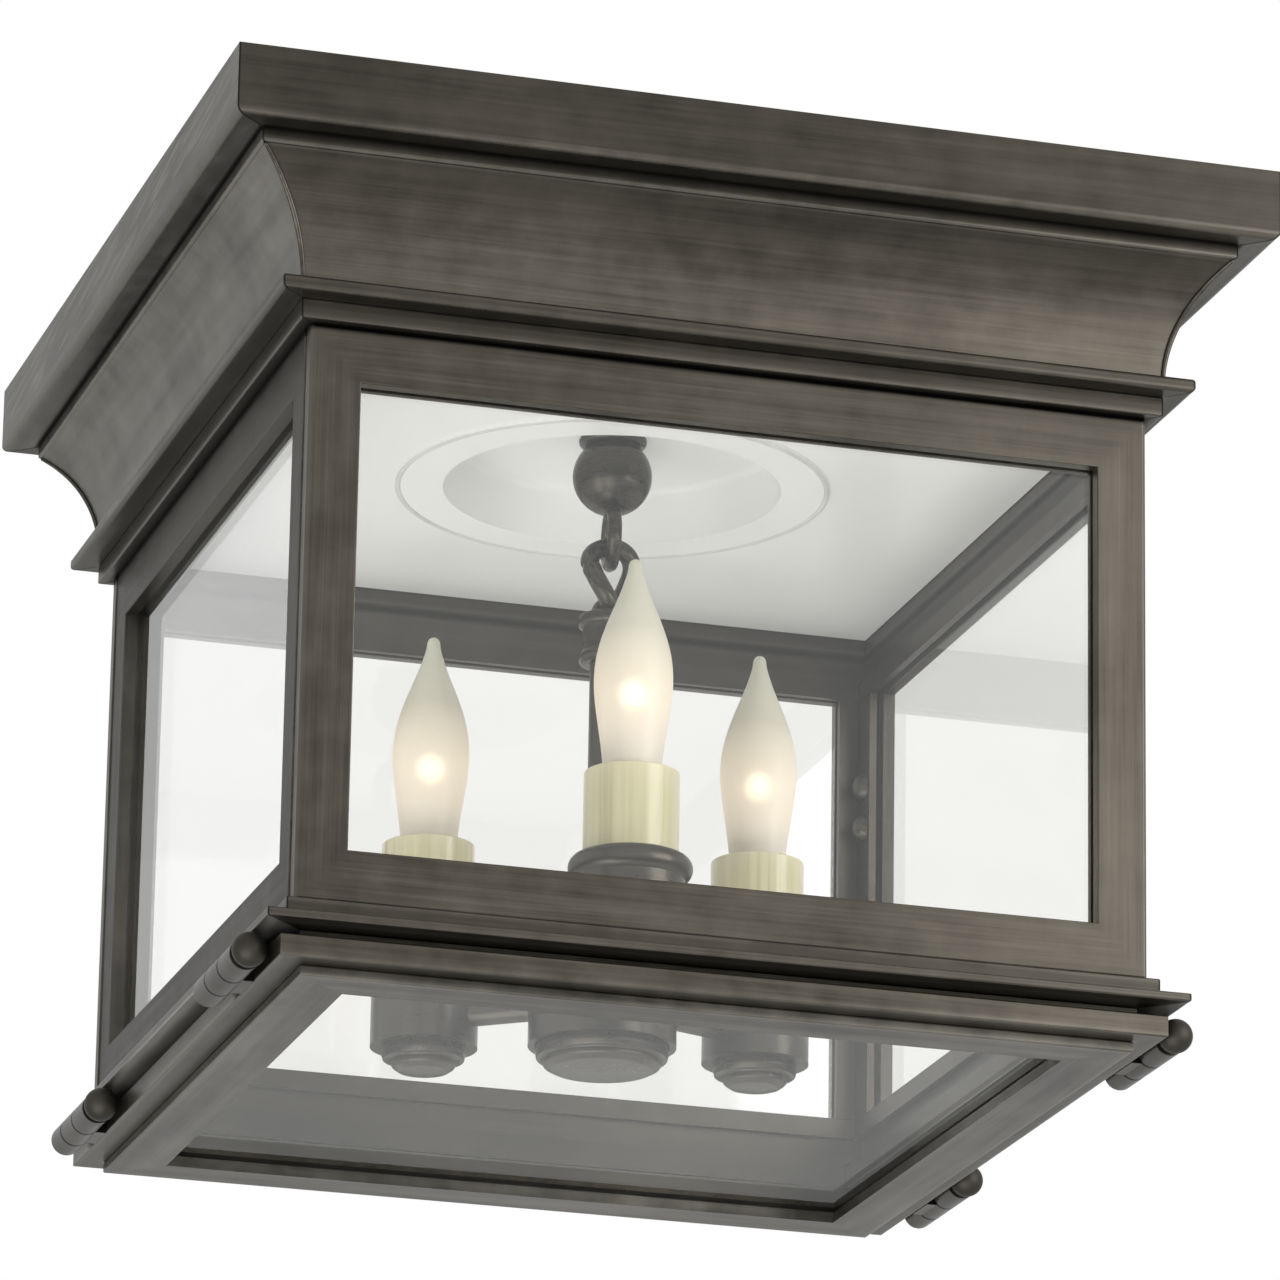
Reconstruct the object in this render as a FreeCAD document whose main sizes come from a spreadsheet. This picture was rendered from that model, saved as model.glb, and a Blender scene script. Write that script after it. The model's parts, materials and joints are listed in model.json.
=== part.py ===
"""Square lantern ceiling light with a hinged glass door and a hanging three-candle cluster.

Millimetres, +Z up, origin at the centre of the face that meets the ceiling, -Y to the front.
Levels are negative because everything hangs below the ceiling.
"""
import FreeCAD, Part
import math
import os

import Sketcher

# Driving sizes: name, value and what it measures.
SIZES = (
    ("overrun", "2", "how far a cutting shape passes the surface it cuts"),
    ("seat_gap", "0.3", "gap between two curved faces that hang on each other"),
    ("run_gap", "0.05", "radial clearance of a pin in its knuckles"),
    ("sheet_wall", "1.2", "thickness of the white sheet parts"),
    ("fascia_projection", "12.7", "fascia beyond the bead under it"),
    ("cornice_drop", "77.7", "height of the whole cornice"),
    ("cornice_wall", "2.4", "thickness of the cornice's rolled wall"),
    ("fascia_drop", "27", "height of the flat fascia"),
    ("fascia_round", "3", "rounding along the fascia's lower edge"),
    ("bead_drop", "5.5", "height of the bead"),
    ("bead_round", "1.5", "rounding along the bead's lower edge"),
    ("cove_run", "21", "cove from its foot out to the bead"),
    ("cove_foot_projection", "4.9", "foot of the cove beyond the glazed body"),
    ("astragal_projection", "9.8", "thin plate under the cove beyond the cove's foot"),
    ("astragal_thick", "5.4", "thickness of that plate"),
    ("astragal_round", "1.8", "rounding of its outer edges"),
    ("flange_inset", "45.1", "opening in the plate's inner flange inside the face of the body"),
    ("flange_thick", "1.6", "thickness of that flange"),
    ("neck_projection", "5.1", "neck band beyond the body"),
    ("neck_thick", "7.6", "height of the neck band"),
    ("edge_round", "0.8", "small rounding on the other mouldings"),
    ("body_half", "163.1", "half width of the glazed body"),
    ("body_height", "220.3", "height of the glazed body"),
    ("frame_thick", "8", "thickness of a window frame"),
    ("corner_round", "1.6", "rounding of the body's upright corners"),
    ("window_round", "0.5", "easing of the edges round a window"),
    ("stile", "19.5", "face width of the uprights, front and back"),
    ("side_stile", "17", "face width of the uprights, left and right"),
    ("top_rail", "21.4", "face height of the top rails"),
    ("bottom_rail", "20.2", "face height of the bottom rails"),
    ("rebate_lap", "6", "how far a pane reaches past its window"),
    ("rebate_depth", "2.9", "depth of the rebate"),
    ("glass_thick", "2.5", "thickness of the glass"),
    ("glass_gap", "0.4", "gap around the edge of a pane"),
    ("stop_width", "8", "width of a glass stop, front and back"),
    ("side_stop_width", "15", "width of a glass stop, left and right"),
    ("stop_thick", "3", "thickness of a glass stop"),
    ("stop_gap", "0.2", "gap where two stops meet"),
    ("stud_radius", "5.8", "radius of the domed screw heads"),
    ("stud_head", "4.6", "height of the domed screw heads"),
    ("stud_shank", "1.9", "radius of their shanks"),
    ("stud_reach", "3", "how far a shank enters the frame"),
    ("stud_fit", "0.05", "clearance of a shank in its holes"),
    ("stud_upper_drop", "60", "upper screw below the top of the body"),
    ("stud_pitch", "17.7", "distance between the two screws"),
    ("base_projection", "3.6", "base band beyond the body"),
    ("base_thick", "7", "height of the base band"),
    ("foot_projection", "12.6", "foot flange beyond the body"),
    ("foot_thick", "3.2", "height of the foot flange"),
    ("base_rim", "20.7", "width of the base band, face to opening"),
    ("door_gap", "0.4", "gap between the door's lip and the foot flange"),
    ("lip_inset", "3.1", "door's recessed lip inside the face of the body"),
    ("lip_height", "3.8", "height of that lip"),
    ("door_projection", "5.9", "door's outer band beyond the body"),
    ("door_band", "8.4", "height of the outer band"),
    ("door_rim", "22", "width of the outer band, face to opening"),
    ("step_inset", "4.2", "door's lower step inside the face of the body"),
    ("step_height", "4.1", "height of the lower step"),
    ("step_rim", "20.8", "width of the lower step, face to window"),
    ("door_stop_width", "7", "width of the stops on the door's glass"),
    ("hinge_projection", "8", "hinge axes beyond the door's outer band"),
    ("hinge_drop", "8", "hinge axes below the foot flange"),
    ("hinge_inset", "43.1", "middle of a hinge from the body's corner"),
    ("barrel_radius", "6", "radius of a knuckle"),
    ("knuckle", "19", "length of a knuckle"),
    ("knuckle_gap", "0.4", "gap between two knuckles"),
    ("knuckle_cap", "3.5", "closed end of the rear knuckle"),
    ("knuckle_round", "3", "rounding of the closed end"),
    ("web_inset", "0.5", "inner face of a web from the hinge axis"),
    ("web_width", "5", "width of the web that carries a fixed knuckle"),
    ("leaf_low", "4.6", "underside of a door leaf below the hinge axis"),
    ("leaf_high", "1", "top of a door leaf above the hinge axis"),
    ("pin_radius", "3", "radius of a hinge pin"),
    ("pin_ball", "6.5", "radius of the ball on a hinge pin"),
    ("mouth_gap", "0.3", "clearance of a pin in the open mouth of a knuckle"),
    ("pin_end_gap", "0.6", "gap between a pin's end and the closed knuckle"),
    ("strap_half_length", "58", "half length of the ceiling strap"),
    ("strap_half_width", "11", "half width of the ceiling strap"),
    ("strap_thick", "2", "thickness of the ceiling strap"),
    ("strap_round", "4", "corner rounding of the ceiling strap"),
    ("slot_spacing", "88.9", "distance between the two slots for the box screws"),
    ("slot_half_length", "7", "half length of a slot, end to end"),
    ("slot_radius", "2.4", "half width of a slot"),
    ("nipple_radius", "4.85", "radius of the threaded tube"),
    ("nipple_bore", "3.3", "bore of the threaded tube"),
    ("nipple_end_gap", "2", "gap between the threaded tube and the end of its hole in the ball"),
    ("nipple_clear", "0.1", "clearance of the holes on the threaded tube"),
    ("nut_radius", "9", "centre of a lock nut to its corners"),
    ("nut_thick", "4", "thickness of a lock nut"),
    ("pan_inset", "7.7", "white pan inside the face of the body"),
    ("pan_fit", "0.4", "clearance around the pan and the dish"),
    ("dish_depth", "21.3", "dish above the underside of the pan"),
    ("dish_radius", "66.5", "inner radius of the dish"),
    ("dish_round", "4", "outer rounding of the dish"),
    ("brim_radius", "85.5", "outer radius of the dish's brim"),
    ("collar_radius", "13.4", "radius of the collar over the ball"),
    ("collar_height", "5", "height of the collar"),
    ("ball_radius", "15.6", "radius of the hanging ball"),
    ("ball_cut", "12", "flat top of the ball above its centre"),
    ("ball_bore", "9", "depth of the threaded hole in the ball"),
    ("eye_drop", "9.4", "centre of the eye below the ball"),
    ("eye_hole", "8", "inner radius of the eye"),
    ("eye_wire", "2.8", "radius of the eye's wire"),
    ("link_half_width", "13.5", "half width of the chain link"),
    ("link_wire", "3.6", "radius of the chain link's wire"),
    ("link_straight", "8", "straight part of the chain link"),
    ("loop_hole", "5.5", "inner radius of the stem's loop"),
    ("loop_wire", "3.25", "radius of the loop's wire"),
    ("cap_gap", "1", "gap between the link and the stem's cap"),
    ("cap_radius", "12.2", "radius of the cap's upper rim"),
    ("cap_rim", "5", "height of the cap's rims"),
    ("cap_neck_radius", "10.6", "radius of the cap between its rims"),
    ("cap_neck", "6", "height of the cap between its rims"),
    ("cap_foot_radius", "11.8", "radius of the cap's lower rim"),
    ("rim_round", "2", "rounding of the cap's rims"),
    ("stem_radius", "7.5", "radius of the stem"),
    ("stem_bore", "5.5", "bore of the stem"),
    ("hub_clearance", "10", "foot of the cluster above the door's glass"),
    ("hub_radius", "28.6", "radius of the hub"),
    ("hub_wall", "2.5", "wall of the hub"),
    ("hub_height", "23", "height of the hub's straight wall"),
    ("hub_shoulder", "7", "height of the hub's sloping shoulder"),
    ("hub_collar", "5", "height of the hub's collar"),
    ("hub_collar_radius", "11", "radius of the hub's collar"),
    ("hub_shoulder_radius", "20", "radius of the hub's top"),
    ("hub_tier_radius", "25.8", "radius of the step under the hub"),
    ("hub_tier", "5", "height of that step"),
    ("hub_boss_radius", "22.8", "radius of the boss under that step"),
    ("hub_boss", "5", "height of that boss"),
    ("hub_tip_radius", "19.5", "radius of the boss's flat foot"),
    ("arm_radius", "5", "radius of an arm"),
    ("arm_fit", "0.05", "clearance of an arm in its holes"),
    ("arm_rise", "18", "arms above the foot of the hub"),
    ("arm_entry", "1.2", "how far an arm enters the wall of a cup"),
    ("candle_circle", "75", "candles from the stem"),
    ("cup_radius", "20.9", "radius of a cup"),
    ("cup_wall", "1.6", "wall of a cup"),
    ("cup_floor", "1.8", "floor of a cup"),
    ("cup_rise", "6", "foot of the cups above the foot of the hub"),
    ("cup_height", "39", "height of a cup below its lip"),
    ("cup_lip_radius", "23.7", "radius over the lip of a cup"),
    ("cup_lip", "10", "height of the lip of a cup"),
    ("cup_lip_hole", "18.6", "radius of the hole in the lip of a cup"),
    ("cup_tier_radius", "16.4", "radius of the step under a cup"),
    ("cup_tier", "5", "height of that step"),
    ("cup_boss_radius", "12.4", "radius of the boss under that step"),
    ("cup_boss", "5.2", "height of that boss"),
    ("cup_tip_radius", "9.8", "radius of the boss's flat foot"),
    ("sleeve_radius", "18.25", "radius of a candle sleeve"),
    ("sleeve_wall", "1.6", "wall of a candle sleeve"),
    ("sleeve_length", "79.7", "length of a candle sleeve"),
    ("sleeve_round", "0.6", "rounding of a candle sleeve's top"),
    ("socket_radius", "11.5", "radius of a lamp socket"),
    ("socket_sink", "11.5", "top of a socket below the top of its sleeve"),
    ("socket_bore", "6.3", "bore of a socket"),
    ("socket_depth", "24", "depth of that bore"),
    ("base_radius", "6", "radius of a bulb's screw base"),
    ("base_length", "21", "length of a bulb's screw base"),
    ("contact_radius", "2.5", "radius of a bulb's end contact"),
    ("contact_height", "2.5", "height of a bulb's insulated end"),
    ("bulb_lift", "2", "foot of the glass above the socket"),
    ("bulb_foot", "6.6", "radius of the glass at its foot"),
    ("bulb_neck", "11.5", "radius of the glass at the top of the sleeve"),
    ("bulb_belly", "15.8", "largest radius of the glass"),
    ("bulb_belly_rise", "31", "largest radius above the sleeve"),
    ("bulb_shoulder", "11.5", "radius of the glass where the flame tip starts"),
    ("bulb_shoulder_rise", "59.5", "start of the flame tip above the sleeve"),
    ("bulb_tip", "3", "radius of the rounded tip"),
    ("bulb_show", "85.5", "height of the glass above the sleeve"),
    ("flame_radius", "110", "hollow curve of the flame tip"),
    ("bulb_wall", "0.8", "wall of the glass"),
)

# Driving angles, in degrees: name, value and what it measures.
ANGLES = (
    ("cluster_turn", "8.8", "turn of the hanging cluster, clockwise from above"),
    ("bearing_front", "-90", "bearing of the front candle on the cluster"),
    ("bearing_right", "30", "bearing of the right-hand candle on the cluster"),
    ("bearing_left", "150", "bearing of the left-hand candle on the cluster"),
)

# Sizes worked out from the driving ones, in order.
DERIVED = (
    ("cove_foot_half", "body_half + cove_foot_projection"),
    ("bead_half", "cove_foot_half + cove_run + bead_round"),
    ("cornice_half", "bead_half + fascia_projection"),
    ("astragal_half", "cove_foot_half + astragal_projection"),
    ("flange_half", "body_half - flange_inset"),
    ("neck_half", "body_half + neck_projection"),
    ("pan_half", "body_half - pan_inset"),
    ("base_half", "body_half + base_projection"),
    ("foot_half", "body_half + foot_projection"),
    ("base_opening", "base_half - base_rim"),
    ("lip_half", "body_half - lip_inset"),
    ("door_half", "body_half + door_projection"),
    ("door_inner", "door_half - door_rim"),
    ("step_half", "body_half - step_inset"),
    ("door_window", "step_half - step_rim"),
    ("hinge_offset", "door_half + hinge_projection"),
    ("hinge_pitch_half", "body_half - hinge_inset"),
    ("fascia_foot", "-fascia_drop"),
    ("bead_foot", "fascia_foot - bead_drop"),
    ("cornice_foot", "-cornice_drop"),
    ("cove_rise", "bead_foot - cornice_foot"),
    ("cove_radius", "(cove_run^2 + cove_rise^2) / (2 * cove_run)"),
    ("cove_back_radius", "cove_radius + cornice_wall"),
    ("cove_back_half", "cove_foot_half + cove_radius - sqrt(cove_back_radius^2 - cove_rise^2)"),
    ("mitre_start", "cove_foot_half - cornice_wall - overrun"),
    ("mitre_end", "cornice_half + overrun"),
    ("astragal_foot", "cornice_foot - astragal_thick"),
    ("neck_foot", "astragal_foot - neck_thick"),
    ("body_foot", "neck_foot - body_height"),
    ("window_top", "neck_foot - top_rail"),
    ("window_foot", "body_foot + bottom_rail"),
    ("window_half", "body_half - stile"),
    ("side_half", "body_half - frame_thick"),
    ("side_window_half", "side_half - side_stile"),
    ("pane_inset", "rebate_depth - glass_thick"),
    ("pane_lap", "rebate_lap - glass_gap"),
    ("stud_upper", "neck_foot - stud_upper_drop"),
    ("stud_lower", "stud_upper - stud_pitch"),
    ("stud_dome", "(stud_radius^2 + stud_head^2) / (2 * stud_head)"),
    ("stud_hole", "stud_shank + stud_fit"),
    ("stud_across", "side_window_half + rebate_lap + stud_hole + stud_fit"),
    ("base_foot", "body_foot - base_thick"),
    ("foot_foot", "base_foot - foot_thick"),
    ("lip_top", "foot_foot - door_gap"),
    ("band_top", "lip_top - lip_height"),
    ("band_foot", "band_top - door_band"),
    ("step_foot", "band_foot - step_height"),
    ("door_pane", "door_inner - glass_gap"),
    ("door_stop_outer", "door_inner - stop_gap"),
    ("door_stop_inner", "door_stop_outer - door_stop_width"),
    ("door_pane_top", "band_foot + glass_thick"),
    ("hinge_level", "foot_foot - hinge_drop"),
    ("barrel_half", "knuckle * 1.5 + knuckle_gap"),
    ("barrel_bore", "pin_radius + run_gap"),
    ("bore_end", "barrel_half - knuckle_cap"),
    ("pin_end", "bore_end - pin_end_gap"),
    ("ball_back", "barrel_half + seat_gap"),
    ("ball_middle", "ball_back + sqrt(pin_ball^2 - pin_radius^2)"),
    ("ball_front", "ball_middle + pin_ball"),
    ("door_knuckle_half", "knuckle / 2"),
    ("mouth_half", "pin_radius + mouth_gap"),
    ("strap_foot", "-strap_thick"),
    ("nipple_hole", "nipple_radius + nipple_clear"),
    ("slot_middle", "slot_spacing / 2"),
    ("slot_straight", "slot_half_length - slot_radius"),
    ("nut_half_radius", "nut_radius / 2"),
    ("nut_flat", "nut_radius * sqrt(3) / 2"),
    ("pan_foot", "astragal_foot - sheet_wall"),
    ("brim_foot", "pan_foot - sheet_wall"),
    ("dish_under", "pan_foot + dish_depth"),
    ("dish_top", "dish_under + sheet_wall"),
    ("dish_outer", "dish_radius + sheet_wall"),
    ("pan_hole", "dish_outer + pan_fit"),
    ("neck_hole", "pan_half + pan_fit"),
    ("dish_inner_round", "dish_round - sheet_wall"),
    ("collar_round", "collar_height / 2"),
    ("collar_foot", "dish_under - collar_height"),
    ("ball_level", "collar_foot - ball_cut"),
    ("ball_flat", "sqrt(ball_radius^2 - ball_cut^2)"),
    ("ball_bore_end", "collar_foot - ball_bore"),
    ("nipple_foot", "ball_bore_end + nipple_end_gap"),
    ("eye_mean", "eye_hole + eye_wire"),
    ("eye_level", "ball_level - ball_radius - eye_drop"),
    ("eye_wire_level", "eye_level - eye_mean"),
    ("link_mean", "link_half_width - link_wire"),
    ("link_upper", "eye_wire_level + eye_wire + seat_gap + link_wire - link_mean"),
    ("link_lower", "link_upper - link_straight"),
    ("link_foot_level", "link_lower - link_mean"),
    ("loop_mean", "loop_hole + loop_wire"),
    ("loop_level", "link_foot_level + link_wire + seat_gap + loop_wire - loop_mean"),
    ("cap_top", "link_foot_level - link_wire - cap_gap"),
    ("cap_neck_top", "cap_top - cap_rim"),
    ("cap_neck_foot", "cap_neck_top - cap_neck"),
    ("cap_foot", "cap_neck_foot - cap_rim"),
    ("hub_boss_foot", "door_pane_top + hub_clearance"),
    ("hub_tier_foot", "hub_boss_foot + hub_boss"),
    ("hub_foot", "hub_tier_foot + hub_tier"),
    ("hub_shoulder_foot", "hub_foot + hub_height"),
    ("hub_collar_foot", "hub_shoulder_foot + hub_shoulder"),
    ("hub_top", "hub_collar_foot + hub_collar"),
    ("hub_bore", "hub_radius - hub_wall"),
    ("hub_roof", "hub_shoulder_foot - hub_wall"),
    ("hub_boss_run", "hub_boss_radius - hub_tip_radius"),
    ("hub_boss_curve", "(hub_boss_run^2 + hub_boss^2) / (2 * hub_boss)"),
    ("arm_level", "hub_foot + arm_rise"),
    ("arm_hole", "arm_radius + arm_fit"),
    ("arm_end", "candle_circle - cup_radius + arm_entry"),
    ("arm_length", "arm_end - hub_bore"),
    ("hub_cut_length", "hub_radius + overrun"),
    ("cup_cut_length", "cup_radius + overrun"),
    ("cup_foot", "hub_foot + cup_rise"),
    ("cup_bore", "cup_radius - cup_wall"),
    ("cup_lip_foot", "cup_foot + cup_height"),
    ("cup_lip_top", "cup_lip_foot + cup_lip"),
    ("cup_lip_round", "cup_lip / 2"),
    ("cup_lip_middle", "cup_lip_foot + cup_lip_round"),
    ("cup_lip_inset", "cup_radius - cup_lip_radius + cup_lip_round"),
    ("cup_lip_start", "cup_lip_middle - sqrt(cup_lip_round^2 - cup_lip_inset^2)"),
    ("cup_tier_foot", "cup_foot - cup_tier"),
    ("cup_boss_foot", "cup_tier_foot - cup_boss"),
    ("cup_boss_run", "cup_boss_radius - cup_tip_radius"),
    ("cup_boss_curve", "(cup_boss_run^2 + cup_boss^2) / (2 * cup_boss)"),
    ("sleeve_foot", "cup_foot + cup_floor"),
    ("sleeve_top", "sleeve_foot + sleeve_length"),
    ("sleeve_bore", "sleeve_radius - sleeve_wall"),
    ("socket_top", "sleeve_top - socket_sink"),
    ("socket_floor", "socket_top - socket_depth"),
    ("glass_foot", "socket_top + bulb_lift"),
    ("screw_foot", "glass_foot - base_length"),
    ("contact_foot", "screw_foot - contact_height"),
    ("belly_level", "sleeve_top + bulb_belly_rise"),
    ("shoulder_level", "sleeve_top + bulb_shoulder_rise"),
    ("tip_top", "sleeve_top + bulb_show"),
    ("tip_level", "tip_top - bulb_tip"),
    ("neck_run", "bulb_belly - bulb_neck"),
    ("neck_curve", "(neck_run^2 + bulb_belly_rise^2) / (2 * neck_run)"),
    ("shoulder_run", "bulb_belly - bulb_shoulder"),
    ("shoulder_rise", "bulb_shoulder_rise - bulb_belly_rise"),
    ("shoulder_curve", "(shoulder_run^2 + shoulder_rise^2) / (2 * shoulder_run)"),
    ("candle_front_x", "candle_circle * cos(bearing_front - cluster_turn)"),
    ("candle_front_y", "candle_circle * sin(bearing_front - cluster_turn)"),
    ("candle_right_x", "candle_circle * cos(bearing_right - cluster_turn)"),
    ("candle_right_y", "candle_circle * sin(bearing_right - cluster_turn)"),
    ("candle_left_x", "candle_circle * cos(bearing_left - cluster_turn)"),
    ("candle_left_y", "candle_circle * sin(bearing_left - cluster_turn)"),
)

# The three candles.
CANDLES = ("front", "right", "left")

# Each side of the lantern: its name and its turn from the front, in degrees.
SIDES = (("front", 0), ("right", 90), ("back", 180), ("left", -90))

# Each hinge: its name, its side and its end of the door.
HINGES = (
    ("front_left", "- hinge_offset", "- hinge_pitch_half"),
    ("rear_left", "- hinge_offset", "hinge_pitch_half"),
    ("front_right", "hinge_offset", "- hinge_pitch_half"),
    ("rear_right", "hinge_offset", "hinge_pitch_half"),
)

doc = FreeCAD.newDocument("lantern")
sheet = doc.addObject("Spreadsheet::Sheet", "dims")
nodes = {}


def fill_sheet():
    """Write every driving and derived size to the sheet, each with its alias."""
    rows = [*SIZES, *ANGLES]
    rows += [(name, "=" + formula, "") for name, formula in DERIVED]
    for row, (name, value, words) in enumerate(rows, 1):
        sheet.set(f"A{row}", name)
        sheet.set(f"B{row}", value)
        sheet.setAlias(f"B{row}", name)
        if words:
            sheet.set(f"C{row}", words)
    doc.recompute()


def words_of(text):
    """Split a sum of sheet names into signed names; the text 0 is an empty sum."""
    sign = 1
    found = []
    for word in text.replace("-", " - ").replace("+", " + ").split():
        if word == "-":
            sign = -1
        elif word == "+":
            sign = 1
        elif word != "0":
            found.append((sign, word))
            sign = 1
    return found


def size(text):
    """The value of a sum of sheet names."""
    return float(sum(sign * sheet.get(name) for sign, name in words_of(text)))


def formula(text):
    """The same sum as an expression on the sheet."""
    return " ".join(("+ " if sign > 0 else "- ") + "dims." + name for sign, name in words_of(text))


def bind(thing, prop, text, mirrored=False):
    """Tie a property of a feature to a sum of sheet names."""
    text = formula(text)
    thing.setExpression(prop, f"-({text})" if mirrored else f"0 {text}")


def add_body(label):
    """A new solid sub-part."""
    body = doc.addObject("PartDesign::Body", label)
    body.Label = label
    return body


def plane_of(body, role):
    """One of the body's own origin planes."""
    return next(item for item in body.Origin.OriginFeatures if item.Role == role)


def arc_between(start, end, radius, side):
    """The short arc of this radius from start to end, bulging left (1) or right (-1) of the way.

    Returns the arc and whether the way runs against it.
    """
    chord = end - start
    middle = (start + end) * 0.5
    left = FreeCAD.Vector(-chord.y, chord.x, 0).normalize()
    reach = math.sqrt(max(radius ** 2 - (chord.Length / 2) ** 2, 0))
    centre = middle - left * (reach * side)
    angles = [math.atan2(point.y - centre.y, point.x - centre.x) for point in (start, end)]
    first, last = angles if side < 0 else reversed(angles)
    circle = Part.Circle(centre, FreeCAD.Vector(0, 0, 1), radius)
    return Part.ArcOfCircle(circle, first, last), side > 0


def pin_point(sketch, index, end, x_text, y_text, point, mirrored):
    """Tie one end of an edge to the sheet, along both axes of the sketch."""
    if x_text == "0":
        sketch.addConstraint(Sketcher.Constraint("PointOnObject", index, end, -2))
    else:
        number = sketch.addConstraint(Sketcher.Constraint("DistanceX", -1, 1, index, end, point.x))
        bind(sketch, f"Constraints[{number}]", x_text, mirrored)
    if y_text == "0":
        sketch.addConstraint(Sketcher.Constraint("PointOnObject", index, end, -1))
    else:
        number = sketch.addConstraint(Sketcher.Constraint("DistanceY", -1, 1, index, end, point.y))
        bind(sketch, f"Constraints[{number}]", y_text)


def draw_loop(sketch, loop, mirrored=False):
    """Draw one closed outline. A corner may name the radius and side of the arc that leaves it."""
    turn = -1 if mirrored else 1
    points = [FreeCAD.Vector(turn * size(corner[0]), size(corner[1]), 0) for corner in loop]
    edges = []
    for number, corner in enumerate(loop):
        start, end = points[number], points[(number + 1) % len(loop)]
        if len(corner) == 4:
            arc, against = arc_between(start, end, size(corner[2]), corner[3] * turn)
            index = sketch.addGeometry(arc, False)
            edges.append((index, (2, 1) if against else (1, 2)))
            radius = sketch.addConstraint(Sketcher.Constraint("Radius", index, size(corner[2])))
            bind(sketch, f"Constraints[{radius}]", corner[2])
        else:
            index = sketch.addGeometry(Part.LineSegment(start, end), False)
            edges.append((index, (1, 2)))
    for number, (index, ends) in enumerate(edges):
        following, following_ends = edges[(number + 1) % len(edges)]
        sketch.addConstraint(Sketcher.Constraint("Coincident", index, ends[1], following, following_ends[0]))
        pin_point(sketch, index, ends[0], *loop[number][:2], points[number], mirrored)


def draw_circle(sketch, x_text, y_text, radius_text):
    """Draw one circle tied to the sheet."""
    centre = FreeCAD.Vector(size(x_text), size(y_text), 0)
    circle = Part.Circle(centre, FreeCAD.Vector(0, 0, 1), size(radius_text))
    index = sketch.addGeometry(circle, False)
    radius = sketch.addConstraint(Sketcher.Constraint("Radius", index, size(radius_text)))
    bind(sketch, f"Constraints[{radius}]", radius_text)
    pin_point(sketch, index, 3, x_text, y_text, centre, False)


def add_sketch(body, role, loops=(), circles=(), offset="0", mirrored=False):
    """A sketch of closed outlines and circles on one of the body's planes."""
    sketch = body.newObject("Sketcher::SketchObject", body.Label + "_sketch")
    sketch.AttachmentSupport = [(plane_of(body, role), "")]
    sketch.MapMode = "FlatFace"
    if offset != "0":
        bind(sketch, "AttachmentOffset.Base.z", offset)
    for loop in loops:
        draw_loop(sketch, loop, mirrored)
    for circle in circles:
        draw_circle(sketch, *circle)
    return sketch


def add_pad(body, sketch, length, both=False, back=False):
    """Raise a sketch into a solid, along its normal unless back is set."""
    pad = body.newObject("PartDesign::Pad", body.Label + "_pad")
    pad.Profile = sketch
    pad.SideType = "Symmetric" if both else "One side"
    pad.Reversed = back
    bind(pad, "Length", length)
    doc.recompute()
    return pad


def add_pocket(body, sketch, length=None, both=False, back=False):
    """Cut a sketch out of the body, against its normal unless back is set."""
    before = body.Shape.Volume
    pocket = body.newObject("PartDesign::Pocket", body.Label + "_pocket")
    pocket.Profile = sketch
    pocket.SideType = "Symmetric" if both else "One side"
    pocket.Reversed = back
    if length is None:
        pocket.Type = "ThroughAll"
    else:
        bind(pocket, "Length", length)
    doc.recompute()
    if not body.Shape.Volume < before:
        raise RuntimeError(f"{body.Label}: a cut removed nothing")
    return pocket


def add_turning(body, sketch):
    """Turn a half outline about the sketch's upright axis."""
    turning = body.newObject("PartDesign::Revolution", body.Label + "_turning")
    turning.Profile = sketch
    turning.ReferenceAxis = (sketch, ["V_Axis"])
    turning.Angle = 360
    doc.recompute()
    return turning


def add_groove(body, sketch):
    """Cut a half outline turned about the sketch's upright axis."""
    before = body.Shape.Volume
    groove = body.newObject("PartDesign::Groove", body.Label + "_groove")
    groove.Profile = sketch
    groove.ReferenceAxis = (sketch, ["V_Axis"])
    groove.Angle = 360
    doc.recompute()
    if not body.Shape.Volume < before:
        raise RuntimeError(f"{body.Label}: a groove removed nothing")
    return groove


def add_fillet(body, radius, chosen):
    """Round the edges of the body's last feature that the test picks."""
    last = body.Tip
    names = [f"Edge{number}" for number, edge in enumerate(last.Shape.Edges, 1) if chosen(edge)]
    if not names:
        raise RuntimeError(f"{body.Label}: no edge to round")
    fillet = body.newObject("PartDesign::Fillet", body.Label + "_fillet")
    fillet.Base = (last, names)
    bind(fillet, "Radius", radius)
    doc.recompute()
    return fillet


def place(body, x_text="0", y_text="0", z_text="0", turn=0, turn_text="0"):
    """Put a body in place: a turn about the upright axis, in degrees, then a shift.

    turn_text is a sum of sheet angles added to the turn.
    """
    body.Placement = FreeCAD.Placement(
        FreeCAD.Vector(size(x_text), size(y_text), size(z_text)),
        FreeCAD.Rotation(FreeCAD.Vector(0, 0, 1), turn + size(turn_text)),
    )
    for axis, text in zip("xyz", (x_text, y_text, z_text)):
        if text != "0":
            bind(body, f"Placement.Base.{axis}", text)


def keep(thing):
    """List a finished sub-part under its node's name."""
    nodes[thing.Label] = thing


def gather(label, members):
    """One node of several separate solids."""
    group = doc.addObject("Part::Compound", label)
    group.Label = label
    group.Links = members
    keep(group)


def square(half):
    """The corners of a square about the middle."""
    return [(half, half), ("-" + half, half), ("-" + half, "-" + half), (half, "-" + half)]


def oblong(left, low, right, high):
    """The corners of an upright rectangle."""
    return [(left, low), (right, low), (right, high), (left, high)]


def at_rim(half):
    """A test for the level edges on the outside of a square plate."""
    reach = size(half)

    def chosen(edge):
        ends = [vertex.Point for vertex in edge.Vertexes]
        outside = all(math.isclose(max(abs(p.x), abs(p.y)), reach, abs_tol=1e-6) for p in ends)
        return outside and math.isclose(ends[0].z, ends[-1].z, abs_tol=1e-6)
    return chosen


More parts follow.
